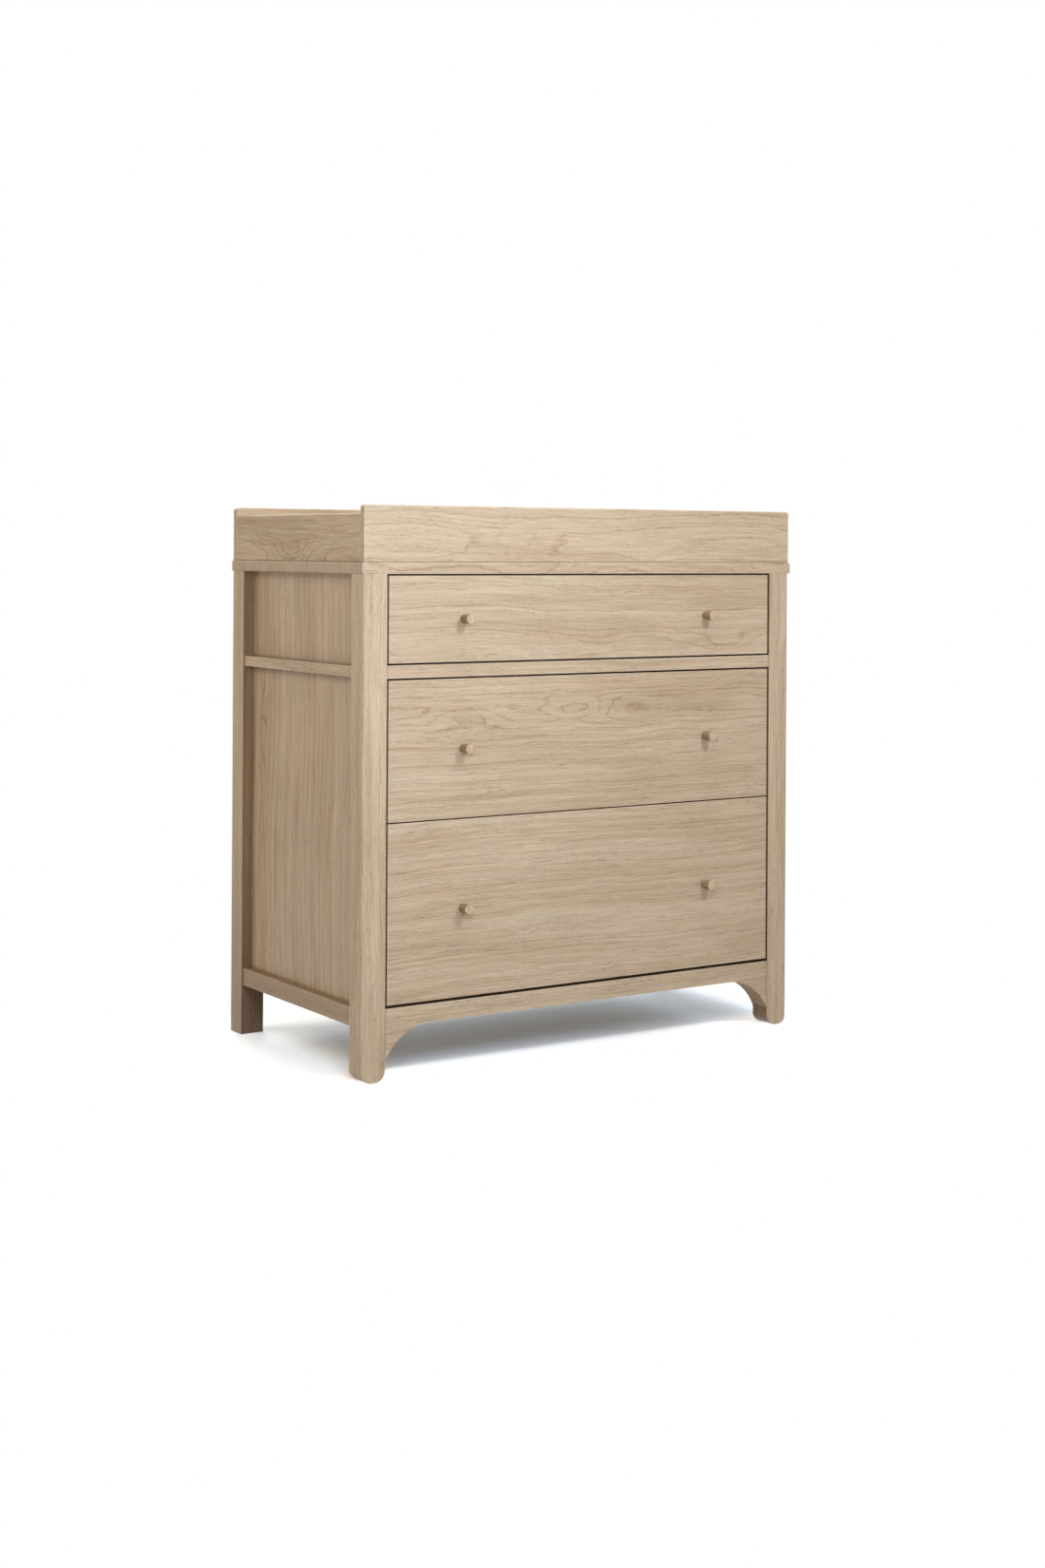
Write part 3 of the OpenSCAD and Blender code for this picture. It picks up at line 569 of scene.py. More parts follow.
def wood(node, cut, timber):
    """A board of that timber with a matt clear finish: thin dark ring lines, open pores, hues that
    drift and darker end grain, with painted shade in its gaps, joints and corners and a painted highlight
    along its edges."""
    material, work, shader, coordinates = new_material(timber.name + "_" + node)
    point, normal = coordinates["Object"], coordinates["Normal"]
    first, second = (*cut.eyes, NO_EYE, NO_EYE)[:2]
    grain = place_group(
        work, GRAIN, Board=board_space(work, point, node, cut.along, cut.across),
        Pith_Side=cut.side, Pith_Depth=cut.depth, Ring_Width=cut.ring, Sway=cut.sway,
        Ripple=cut.ripple, Seed=cut.seed, First_Eye=first, Second_Eye=second,
    )
    low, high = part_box(node)
    edge = place_group(work, EDGES, Point=point, Low=low, High=high, Width=EDGE_WIDTH)["Edge"]

    drift = work.mix(work.span(grain["Hue"], *HUE_DRIFT), timber.warm, timber.cool)
    ground = work.mix(timber.hues, timber.pale, drift)
    year = YEAR_TONE * cut.bold
    darker = work.span(grain["Year"], 0.0, 1.0, -year, year)
    darker = work.times_plus(grain["Line"], timber.line * cut.bold, darker)
    darker = work.times_plus(grain["Rise"], RISE_TONE, darker)
    darker = work.plus(darker, work.span(grain["Streak"], *STREAK_SPAN, 0.0, timber.streak * cut.bold))
    tone = work.span(grain["Tone"], *TONE_SPAN, PALER_SIDE * timber.tone, timber.tone)
    colour = work.mix(work.plus(darker, tone, clamp=True), ground, timber.dark)
    colour = work.toned(colour, work.span(grain["Fine"], *FINE_TONE))
    colour = work.mix(work.times(grain["Pores"], timber.pores), colour, timber.pore)
    # A painted highlight along the edges.
    colour = work.mix(work.times(edge, EDGE_HIGHLIGHT), colour, WHITE, blend="SOFT_LIGHT")
    end = work.times_plus(faces(work, normal, (cut.along,)), timber.end_grain - 1.0, 1.0)
    # End grain is darker, and painted shade darkens the joints, the rear legs' feet and the side panels'
    # rims.
    colour = work.toned(colour, work.times(end, painted_shade_tone(work, point, node)))
    # Painted shade on the faces in the gaps round the drawers and in the recesses.
    for ways, tint in DARK_FACES.get(node, {}).items():
        if tint is FRAME_GAP_SHADE:
            tint = work.mix(opening_mask(work, point), LOW_FRAME_SHADE, FRAME_GAP_SHADE)
        colour = work.mix(faces(work, normal, ways), colour, tint, blend="MULTIPLY")
    rough = work.span(grain["Fine"], *GLOSS_SPAN, timber.gloss, timber.gloss + GLOSS_RANGE)
    rough = work.times_plus(grain["Pores"], PORE_MATT, rough)
    height = work.less(work.times(grain["Fine"], FIBRE_RELIEF), grain["Pores"])
    set_surface(work, shader, colour, rough, height, GRAIN_DEPTH)
    return material


TIMBERS = ((OAK_CUTS, OAK), (BIRCH_CUTS, BIRCH), (KNOB_CUTS, SHADED_KNOB_OAK), (DOWEL_CUTS, BEECH))
for cuts, timber in TIMBERS:
    for node, cut in cuts.items():
        wear(node, wood(node, cut, timber))

# ---- hardboard and steel ----

PULP_SWIRL = 0.020
SWIRL_SCALE = (130.0, 130.0, 130.0)
LENGTHWAYS = (210.0, 980.0, 980.0)
CROSSWAYS = (980.0, 210.0, 210.0)
PULP_CLOUDS = (9.0, 9.0, 9.0)
PULP_FLECKS = (420.0, 520.0, 480.0)
FLECK_EDGE = (0.66, 0.76)
FIBRE_DARK = (0.40, 0.75, 0.0, 0.6)
CLOUD_DARK = (0.3, 0.7, -0.06, 0.16)
FLECK_STRENGTH = 0.7
HARDBOARD_PALE, HARDBOARD_DARK, HARDBOARD_FLECK = shades("#b39b7a #967b59 #6f5539")
HARDBOARD_ROUGH = (0.3, 0.8, 0.48, 0.62)
HARDBOARD_RELIEF = 0.00015
HARDBOARD_SEED = 353.0


def build_pulp(work, given):
    """Short fibres that swirl and lie both ways, soft clouds and flecks."""
    lift = work.even(given["Seed"])
    swirl = work.pattern(given["Point"], SWIRL_SCALE, lift, 3.0)[1]
    pulp = work.vector("ADD", given["Point"], work.scaled(work.centred(swirl), PULP_SWIRL))

    def pressed(scale, detail=2.0):
        return work.pattern(pulp, scale, lift, detail)[0]

    return {
        "Fibres": work.larger(pressed(LENGTHWAYS), pressed(CROSSWAYS)),
        "Clouds": pressed(PULP_CLOUDS, 3.0),
        "Flecks": work.span(pressed(PULP_FLECKS, 1.0), *FLECK_EDGE),
    }


PULP = group("pressed pulp", ("Point",), ("Seed",), build_pulp)


def hardboard(name, seed):
    """Thin pressed board, the same on both faces."""
    material, work, shader, coordinates = new_material(name)
    pulp = place_group(work, PULP, Point=coordinates["Object"], Seed=seed)
    fibres = work.span(pulp["Fibres"], *FIBRE_DARK)
    darker = work.plus(fibres, work.span(pulp["Clouds"], *CLOUD_DARK), clamp=True)
    colour = work.mix(darker, HARDBOARD_PALE, HARDBOARD_DARK)
    colour = work.mix(work.times(pulp["Flecks"], FLECK_STRENGTH), colour, HARDBOARD_FLECK)
    rough = work.span(pulp["Fibres"], *HARDBOARD_ROUGH)
    set_surface(work, shader, colour, rough, pulp["Fibres"], HARDBOARD_RELIEF)
    return material


ROLLING = (1500.0, 9.0, 1500.0)
ZINC_CLOUDS = (75.0, 38.0, 75.0)
ZINC_BLOOM = (22.0, 11.0, 22.0)
ZINC_SCUFFS = (700.0, 90.0, 700.0)
SCUFF_EDGE = (0.62, 0.72)
DULL_SHARE = (0.35, 0.68, 0.0, 0.5)
BLOOM_SHARE = (0.48, 0.72, 0.0, 0.5)
LINE_SPAN = (0.3, 0.7)
STEEL_ROUGH_RANGE = 0.14
SCUFF_MATT = 0.15
ROLLING_DEPTH = 0.00003
Plating = namedtuple("Plating", "name bright dull bloom rough lines seed")
PLATINGS = (
    Plating("zinc", *shades("#b9bcc0 #85898e #b0a888"), 0.30, 0.16, 401.0),
    Plating("screw_zinc", *shades("#c2bfae #8b8878 #b7a568"), 0.26, 0.05, 419.0),
    Plating("cage_steel", *shades("#8f9398 #63676c #8a8470"), 0.38, 0.10, 431.0),
    Plating("ball_steel", *shades("#d2d5d8 #aeb2b6 #c6c2b4"), 0.10, 0.02, 443.0),
)


def build_plating(work, given):
    """The lines that rolling leaves, and a plating's clouds, bloom and scuffs."""
    lift = work.even(given["Seed"])

    def plated(scale, detail=2.0):
        return work.pattern(given["Point"], scale, lift, detail)[0]

    return {
        "Lines": plated(ROLLING), "Clouds": plated(ZINC_CLOUDS, 3.0), "Bloom": plated(ZINC_BLOOM),
        "Scuffs": work.span(plated(ZINC_SCUFFS, 1.0), *SCUFF_EDGE),
    }


PLATED = group("zinc plating", ("Point",), ("Seed",), build_plating)


def plated_steel(plating):
    """Zinc plating with fine lines, dull clouds, scuffs and a faint yellow bloom."""
    material, work, shader, coordinates = new_material(plating.name)
    zinc = place_group(work, PLATED, Point=coordinates["Object"], Seed=plating.seed)
    colour = work.mix(work.span(zinc["Clouds"], *DULL_SHARE), plating.bright, plating.dull)
    colour = work.mix(work.span(zinc["Bloom"], *BLOOM_SHARE), colour, plating.bloom)
    line = work.span(zinc["Lines"], *LINE_SPAN, 1.0 - plating.lines, 1.0 + plating.lines / 2)
    rough = work.span(zinc["Clouds"], *LINE_SPAN, plating.rough, plating.rough + STEEL_ROUGH_RANGE)
    rough = work.times_plus(zinc["Scuffs"], SCUFF_MATT, rough)
    set_surface(work, shader, work.toned(colour, line), rough, zinc["Lines"], ROLLING_DEPTH)
    shader.inputs["Metallic"].default_value = 1.0
    return material


ZINC, SCREW_ZINC, CAGE_STEEL, BALL_STEEL = (plated_steel(plating) for plating in PLATINGS)
for row in frame["record"]["subparts"]:
    if row["material_slot"] == "hardboard":
        wear(row["node"], hardboard("hardboard_" + row["node"], HARDBOARD_SEED + len(row["node"])))
    elif row["material_slot"] == "zinc_steel":
        wear(row["node"], ZINC)

# ---- rolled and turned steel: lengths are in millimetres until the studio ----

MM = 0.001
TURN = 2.0 * math.pi
QUARTER = TURN / 4
BENT = math.radians(32.0)
WELD_DECIMALS = 5
SAME_POINT = 1e-6
# Where a shell's own x, y and z point once it is moved.
PLAIN = ((1, 0, 0), (0, 1, 0), (0, 0, 1))
MIRRORED = ((-1, 0, 0), (0, 1, 0), (0, 0, 1))
ON_WEB = ((0, 1, 0), (0, 0, 1), (1, 0, 0))
SWAPPED = ((0, 1, 0), (1, 0, 0), (0, 0, 1))
UPRIGHT = ((1, 0, 0), (0, 0, 1), (0, 1, 0))

Shell = namedtuple("Shell", "points faces")


def node_box(node):
    """A node's lowest and highest corners and its middle, in millimetres."""
    low, high = (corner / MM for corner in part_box(node))
    return low, high, (low + high) / 2


def joined(shells):
    """Several shells as one: each one's faces count on from the points before it."""
    starts = np.cumsum([0] + [len(shell.points) for shell in shells])
    faces = []
    for shell, start in zip(shells, starts):
        faces += [tuple(start + corner for corner in face) for face in shell.faces]
    return Shell(np.vstack([shell.points for shell in shells]), faces)


def moved(shell, axes, place):
    """The shell with its own x, y and z laid along three axes, and its origin at place."""
    return Shell(shell.points @ np.array(axes, float) + np.array(place, float), shell.faces)


def patch(grid, closed=False):
    """Quads over a grid of points, rows by columns; closed joins its last column to its first."""
    rows, columns = grid.shape[:2]
    spot = np.arange(rows * columns).reshape(rows, columns)
    if closed:
        spot = np.hstack((spot, spot[:, :1]))
    quads = np.stack((spot[:-1, :-1], spot[:-1, 1:], spot[1:, 1:], spot[1:, :-1]), -1)
    return Shell(grid.reshape(-1, 3), quads.reshape(-1, 4).tolist())


def make_piece(name, node, parts):
    """Shells, each with its material, become one piece that stands for a CAD node and rides on its
    body. Points that share a place are welded."""
    shell = joined([part for part, _ in parts])
    rounded = np.round(shell.points, WELD_DECIMALS)
    _, first, back = np.unique(rounded, axis=0, return_index=True, return_inverse=True)
    back = back.ravel().tolist()
    mesh = bpy.data.meshes.new(name)
    faces = [[back[corner] for corner in face] for face in shell.faces]
    mesh.from_pydata((shell.points[first] * MM).tolist(), [], faces)
    work = bmesh.new()
    work.from_mesh(mesh)
    bmesh.ops.recalc_face_normals(work, faces=work.faces)
    work.to_mesh(mesh)
    work.free()
    mesh.polygons.foreach_set("use_smooth", np.ones(len(mesh.polygons), bool))
    mesh.set_sharp_from_angle(angle=BENT)
    for _, material in parts:
        mesh.materials.append(material)
    counts = [len(part.faces) for part, _ in parts]
    mesh.polygons.foreach_set("material_index", np.repeat(np.arange(len(parts)), counts))
    piece = bpy.data.objects.new(name, mesh)
    bpy.context.scene.collection.objects.link(piece)
    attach(piece, frame["nodes"][node]["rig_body"])
    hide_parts(node)


def rounded_path(corners, radii, steps=4):
    """A folded sheet's centre line: each inner corner C, with unit ways u and v to its neighbours
    and the angle a between them, becomes an arc of radius r about C + (u + v) r / (|u + v| sin(a/2))."""
    corners = np.array(corners, float)
    path = [corners[:1]]
    t = np.linspace(0.0, 1.0, steps + 1)[:, None]
    for before, corner, after, radius in zip(corners, corners[1:], corners[2:], radii):
        u, v = before - corner, after - corner
        u, v = u / np.linalg.norm(u), v / np.linalg.norm(v)
        half = math.acos(np.clip(u @ v, -1.0, 1.0)) / 2
        centre = corner + (u + v) / np.linalg.norm(u + v) * radius / math.sin(half)
        start = corner + u * radius / math.tan(half) - centre
        end = corner + v * radius / math.tan(half) - centre
        swing = math.pi - 2 * half
        arc = np.sin((1 - t) * swing) * start + np.sin(t * swing) * end
        path.append(centre + arc / math.sin(swing))
    return np.vstack(path + [corners[-1:]])


def offset(path, distance):
    """The path moved sideways: each point goes along (m + n) / ((m + n) . m), where m and n are the
    unit normals of the two lines that meet there."""
    way = np.diff(path, axis=0)
    side = np.column_stack((-way[:, 1], way[:, 0])) / np.linalg.norm(way, axis=1)[:, None]
    first, second = np.vstack((side[:1], side)), np.vstack((side, side[-1:]))
    both = first + second
    return path + distance * both / (both * first).sum(1)[:, None]


def slot_hole(middle, rise, straight, radius, count=16):
    """A punched hole: for t round the circle, the point (middle + s sign(cos t) + r cos t,
    rise + r sin t), so it is a slot where s, half its straight part, is above 0."""
    t = (np.arange(count) + 0.5) * TURN / count
    across = middle + straight * np.sign(np.cos(t)) + radius * np.cos(t)
    return np.column_stack((across, rise + radius * np.sin(t)))


def punched_plate(outline, holes, near, far, rimmed=True):
    """A flat sheet: its outline and holes on the planes z = near and z = far, with walls round every
    hole and, if rimmed, round the outline. Triangles with all corners on one hole are left out."""
    loops = [np.array(outline, float)] + holes
    flat = np.vstack(loops)
    sizes = [len(loop) for loop in loops]
    ends = np.cumsum([0] + sizes)
    rings = [np.arange(start, end) for start, end in zip(ends, ends[1:])]
    lines = np.vstack([np.column_stack((ring, np.roll(ring, -1))) for ring in rings])
    found = delaunay_2d_cdt([Vector(point) for point in flat], lines.tolist(), [], 0, SAME_POINT)
    triangles = np.array(found[2])
    ring_of = np.repeat(np.arange(len(loops)), sizes)[triangles]
    filled = (ring_of[:, 0] > 0) & (ring_of == ring_of[:, :1]).all(1)
    layers = np.stack([np.column_stack((flat, np.full(len(flat), depth))) for depth in (near, far)])
    shells = [Shell(layer, triangles[~filled].tolist()) for layer in layers]
    walled = rings if rimmed else rings[1:]
    return joined(shells + [patch(layers[:, ring], closed=True) for ring in walled])


def folded_strip(corners, radii, sheet, length, holes):
    """Folded sheet steel: its section's centre line, moved half the sheet to each side, is carried
    along y, and its widest flat is punched with the holes."""
    path = rounded_path(corners, radii)
    web = int(np.argmax(np.linalg.norm(np.diff(path, axis=0), axis=1)))
    # Every point of the section, on both sides of the sheet, at both ends of the strip.
    strip = np.zeros((2, 2, len(path), 3))
    for side, distance in zip(strip, (sheet / 2, -sheet / 2)):
        section = offset(path, distance)
        section[web:web + 2] = offset(path[web:web + 2], distance)
        side[:, :, ::2] = section
    strip[:, 1, :, 1] = length
    shells = []
    for side in strip:
        shells += [patch(side[:, :web + 1]), patch(side[:, web + 1:])]
    shells += [patch(strip[:, end]) for end in (0, 1)]
    shells += [patch(strip[:, :, tip]) for tip in (0, -1)]
    low, high = sorted((path[web, 1], path[web + 1, 1]))
    outline = [(0.0, low), (length, low), (length, high), (0.0, high)]
    flat = punched_plate(outline, holes, *strip[:, 0, web, 0], rimmed=False)
    return joined(shells + [moved(flat, ON_WEB, (0, 0, 0))])


def ball(radius, rings=6, around=8):
    """A bearing ball: (r sin a cos b, r sin a sin b, r cos a), with a from pole to pole."""
    a = np.linspace(0.0, math.pi, rings + 1)[:, None]
    b = np.arange(around)[None, :] * TURN / around
    grid = np.stack((np.sin(a) * np.cos(b), np.sin(a) * np.sin(b), np.cos(a) + 0 * b), -1) * radius
    middle = patch(grid[1:-1], closed=True)
    last = (rings - 2) * around
    top = [(around * (rings - 1), (k + 1) % around, k) for k in range(around)]
    foot = [(around * (rings - 1) + 1, last + k, last + (k + 1) % around) for k in range(around)]
    poles = np.array([(0, 0, radius), (0, 0, -radius)])
    return Shell(np.vstack((middle.points, poles)), middle.faces + top + foot)


def capped(grid):
    """A closed skin from rings of points: the first and last rings are filled."""
    skin = patch(grid, closed=True)
    count = grid.shape[1]
    last = len(skin.points) - count
    return Shell(skin.points, skin.faces + [tuple(range(count))[::-1], tuple(range(last, last + count))])


# ---- the drawers' slides ----

SHEET = 1.2
CURL = 1.3
BENDS = (0.7, 1.9, 1.9, 0.7)
SLIDE_FRONT, SLIDE_BACK, _ = node_box("cabinet_slide_members")
SLIDE_LENGTH = SLIDE_BACK.y - SLIDE_FRONT.y
SLIDE_SCREWS = (32.0, 368.0)
# A slide's member: how far from the chest's side its web and its lips' tips lie, half its height,
# how far from the slide's end it starts, and its holes (place along the slide, half the straight
# part, radius).
Member = namedtuple("Member", "web lip half inset holes")
OUTER = Member(0.6, 9.9, 21.9, 0.0, (
    (64, 0, 2.2), (104, 4, 2.2), (152, 0, 2.2), (200, 4, 2.2), (248, 0, 2.2), (296, 4, 2.2), (336, 0, 2.2),
))
MIDDLE = Member(4.0, 9.4, 17.6, 4.0, (
    (32, 6, 4.6), (110, 12, 3.2), (200, 12, 3.2), (290, 12, 3.2), (368, 6, 4.6),
))
INNER = Member(12.1, 6.2, 13.0, 0.0, (
    (14, 3, 2.2), (68, 4, 2.2), (120, 0, 2.0), (172, 4, 2.2), (228, 4, 2.2), (280, 0, 2.0), (332, 4, 2.2),
))
INNER_SEAT = 11.5
CAGE_START = MIDDLE.inset + 10.0
CAGE_SHEET = 0.5
BALL_RADIUS = 1.5
BALL_STEP = 26.0
POCKET_RADIUS = 1.05 * BALL_RADIUS
# Each ball row: how far it lies above a slide's middle, how far across, and its cage's two edges.
BALL_ROWS = ((19.75, 7.2, 5.0, 9.1), (15.30, 6.9, 5.0, 8.74))


def channel(member):
    """A member of a slide: a C section with lips curled in round the balls."""
    web, lip, half, inset, holes = member
    corners = [(lip, CURL - half), (lip, -half), (web, -half), (web, half), (lip, half), (lip, half - CURL)]
    holes = [slot_hole(y - inset, 0.0, straight, radius) for y, straight, radius in holes]
    strip = folded_strip(corners, BENDS, SHEET, SLIDE_LENGTH - 2 * inset, holes)
    return moved(strip, PLAIN, (0.0, inset, 0.0))


def ball_rows():
    """The rows of balls, and the flat cages with a pocket for every ball."""
    balls, cages = [], []
    length = SLIDE_LENGTH - 2 * CAGE_START
    along = np.arange(0.5 * BALL_STEP, length, BALL_STEP)
    for rise, across, low, high in BALL_ROWS:
        outline = [(0.0, low), (length, low), (length, high), (0.0, high)]
        pockets = [slot_hole(y, across, 0.0, POCKET_RADIUS) for y in along]
        cage = punched_plate(outline, pockets, -CAGE_SHEET / 2, CAGE_SHEET / 2)
        for side in (-1, 1):
            cages.append(moved(cage, SWAPPED, (0.0, CAGE_START, side * rise)))
            places = [(across, CAGE_START + y, side * rise) for y in along]
            balls += [moved(ball(BALL_RADIUS), PLAIN, place) for place in places]
    return joined(balls), joined(cages)


def on_both_sides(shell, drawer):
    """The shell beside both sides of a drawer: its x runs from the chest's side to the box."""
    z = node_box(drawer + "_drawer_slide_members")[2].z
    left = moved(shell, PLAIN, (SLIDE_FRONT.x, SLIDE_FRONT.y, z))
    right = moved(shell, MIRRORED, (SLIDE_BACK.x, SLIDE_FRONT.y, z))
    return joined([left, right])


def make_slides():
    """The outer channels on the chest, the middle ones with their balls and cages, and the inner
    ones on each drawer."""
    outer, middle, inner = (channel(member) for member in (OUTER, MIDDLE, INNER))
    balls, cages = ball_rows()
    outers = joined([on_both_sides(outer, drawer) for drawer in DRAWERS])
    make_piece("outer_slide_channels", "cabinet_slide_members", [(outers, ZINC)])
    for drawer in DRAWERS:
        parts = [(middle, ZINC), (cages, CAGE_STEEL), (balls, BALL_STEEL)]
        parts = [(on_both_sides(shell, drawer), material) for shell, material in parts]
        make_piece(drawer + "_middle_slide_channels", drawer + "_slide_middle_members", parts)
        parts = [(on_both_sides(inner, drawer), ZINC)]
        make_piece(drawer + "_inner_slide_channels", drawer + "_drawer_slide_members", parts)


# ---- plates on the back ----

PLATE_SCREW_END = 8.0
PLATE_HALF = 17.0
PLATE_SHEET = 2.0
PLATE_CORNER = 2.5
SCREW_HOLE = 1.9
ANCHOR_BEND = 2.0
ANCHOR_HOLE = 3.0
ANCHOR_RISE = 14.0


def rounded_outline(width, height, radius, steps=6):
    """A rectangle from (0, 0) with every corner turned into a quarter of a circle about a point
    one radius in from both sides."""
    t = np.linspace(0.0, QUARTER, steps)
    right, top = width - radius, height - radius
    arcs = []
    for k, (x, y) in enumerate(((right, top), (radius, top), (radius, radius), (right, radius))):
        angle = t + k * QUARTER
        arcs.append(np.column_stack((x + radius * np.cos(angle), y + radius * np.sin(angle))))
    return np.vstack(arcs)


def make_plates():
    """Two plates that tie the tray to the top, and the wall anchor, a leaf folded under the top."""
    low, high, _ = node_box("tray_fixing_plates")
    height = high.z - low.z
    outline = rounded_outline(2 * PLATE_HALF, height, PLATE_CORNER)
    rises = (PLATE_SCREW_END, height - PLATE_SCREW_END)
    holes = [slot_hole(PLATE_HALF, rise, 0.0, SCREW_HOLE) for rise in rises]
    plate = punched_plate(outline, holes, 0.0, PLATE_SHEET)
    plates = [moved(plate, UPRIGHT, (x, low.y, low.z)) for x in (low.x, high.x - 2 * PLATE_HALF)]
    make_piece("tray_tie_plates", "tray_fixing_plates", [(joined(plates), ZINC)])

    low, high, _ = node_box("wall_anchor_bracket")
    rail = node_box("rear_top_rail")[2].z - low.z
    half, top = PLATE_SHEET / 2, high.z - low.z
    ends = (PLATE_SCREW_END, 2 * PLATE_HALF - PLATE_SCREW_END)
    holes = [slot_hole(x, rail, 0.0, SCREW_HOLE) for x in ends]
    holes.append(slot_hole(PLATE_HALF, ANCHOR_RISE, 0.0, ANCHOR_HOLE))
    leaf = [(half, 0.0), (half, top - half), (high.y - low.y, top - half)]
    bracket = folded_strip(leaf, (ANCHOR_BEND,), PLATE_SHEET, 2 * PLATE_HALF, holes)
    bracket = moved(bracket, SWAPPED, (low.x, low.y, low.z))
    make_piece("wall_anchor_leaf", "wall_anchor_bracket", [(bracket, ZINC)])


# ---- screws ----

TURNS = np.random.default_rng(29)
# A screw's radius, pitch and tip, its head's radius and height, and its recess's arm length, half
# the arm's width, and depth.
Screw = namedtuple("Screw", "shank pitch tip head height arm half_arm sink")
WOOD_SCREW = Screw(1.75, 1.5, 3.5, 3.5, 1.8, 2.0, 0.45, 1.1)
MACHINE_SCREW = Screw(2.0, 1.0, 0.8, 4.0, 2.0, 2.3, 0.50, 1.2)
SLIDE_SCREW = 9.0
KNOB_SCREW = 30.0
BACK_SCREW = 14.0
TOP_SCREW = 30.0
# Where the screws are along the chest's width, as a part of it.
PANEL_SCREWS = (-0.41, -0.2, 0.2, 0.41)
TOP_SCREWS = (-0.32, 0.0, 0.32)
# A head's rings: in the recess and just past it as parts of an arm, then as parts of the radius.
RECESS_RINGS = np.array((0.12, 0.35, 0.62, 0.97))
PAST_ARM = 1.04
DOME_RINGS = np.array((0.72, 0.86, 0.95, 0.99, 1.0))
DOME_FULL = 0.72
RECESS_EDGE = 0.62
RECESS_FLOOR = 0.86
RECESS_SIDE = 0.93
RECESS_SLOPE = 0.5
THREAD_DEPTH = 0.24
THREAD_AROUND = 10
THREAD_ROWS = 4
THREAD_TOP = 0.3
TIP_BLUNT = 0.06


def screw_head(screw):
    """A domed head with a cross recess: H (1 - (r / R)^(2 / p))^(p / 2) high at radius r. Where the
    smaller of |x| and |y| is under half an arm's width and the larger under its length, the surface
    sinks, most in the middle."""
    radius, arm = screw.head, screw.arm
    rings = np.concatenate((RECESS_RINGS * arm, [PAST_ARM * arm], DOME_RINGS * radius))[:, None]
    edge = np.minimum(np.arcsin(np.clip(screw.half_arm / rings, 0.0, 1.0)), RECESS_EDGE)
    flat = 0 * edge
    stations = np.concatenate([flat, RECESS_FLOOR * edge, edge, (edge + QUARTER / 2) / 2], 1)
    after = np.concatenate([stations, flat + QUARTER / 2, QUARTER - stations[:, :0:-1]], 1)
    around = np.concatenate([after + k * QUARTER for k in range(4)], 1)
    x, y = rings * np.cos(around), rings * np.sin(around)
    shoulder = np.clip(1.0 - (rings / radius) ** (2 / DOME_FULL), 0.0, 1.0)
    dome = screw.height * shoulder ** (DOME_FULL / 2)
    small, large = np.minimum(abs(x), abs(y)), np.maximum(abs(x), abs(y))
    cross = (small < RECESS_SIDE * screw.half_arm) & (large < arm)
    z = dome - np.where(cross, screw.sink * (1.0 - RECESS_SLOPE * large / arm), 0.0)
    return capped(np.stack((x, y, z), -1))


def threaded_shank(screw, length):
    """A thread: at height z and angle t the radius is R (1 - d |2 frac(z / pitch - t / turn) - 1|),
    a ridge that climbs one pitch a turn, and it tapers to the tip."""
    rows = max(8, int(THREAD_ROWS * length / screw.pitch))
    z = np.linspace(THREAD_TOP, -length, rows)[:, None]
    t = np.arange(THREAD_AROUND)[None, :] * TURN / THREAD_AROUND
    ridge = np.abs(2.0 * np.mod(z / screw.pitch - t / TURN, 1.0) - 1.0)
    taper = np.clip((z + length) / screw.tip + TIP_BLUNT, 0.0, 1.0)
    r = screw.shank * (1.0 - THREAD_DEPTH * ridge) * taper
    return capped(np.stack((r * np.cos(t), r * np.sin(t), z + 0 * t), -1))


def driven(screw, length, way, spots):
    """A screw at each spot, its head facing way, turned about its own length as it came to rest."""
    made = joined([screw_head(screw), threaded_shank(screw, length)])
    z = np.array(way, float)
    x = np.roll(np.abs(z), 1)
    y = np.cross(z, x)
    screws = []
    for spot in spots:
        turn = TURNS.uniform(0.0, TURN)
        axes = (math.cos(turn) * x + math.sin(turn) * y, math.cos(turn) * y - math.sin(turn) * x, z)
        screws.append(moved(made, axes, spot))
    return joined(screws)


def make_slide_screws():
    """The slides' screws, the chest's through the outer channels and the drawers' through the inner
    ones, and the machine screws that hold the knobs."""
    into_chest = driven(WOOD_SCREW, SLIDE_SCREW, (1, 0, 0), [(SHEET, y, 0.0) for y in SLIDE_SCREWS])
    chest = joined([on_both_sides(into_chest, drawer) for drawer in DRAWERS])
    make_piece("slide_cross_screws", "cabinet_slide_screws", [(chest, SCREW_ZINC)])
    spots = [(INNER_SEAT, y, 0.0) for y in SLIDE_SCREWS]
    into_box = driven(WOOD_SCREW, SLIDE_SCREW, (-1, 0, 0), spots)
    for drawer in DRAWERS:
        _, front_back, _ = node_box(drawer + "_drawer_front")
        low, high, middle = node_box(drawer + "_drawer_knobs")
        knob_half = (high.z - low.z) / 2
        spots = [(x, front_back.y, middle.z) for x in (low.x + knob_half, high.x - knob_half)]
        knob_screws = driven(MACHINE_SCREW, KNOB_SCREW, (0, 1, 0), spots)
        both = joined([on_both_sides(into_box, drawer), knob_screws])
        make_piece(drawer + "_drawer_cross_screws", drawer + "_drawer_screws", [(both, SCREW_ZINC)])


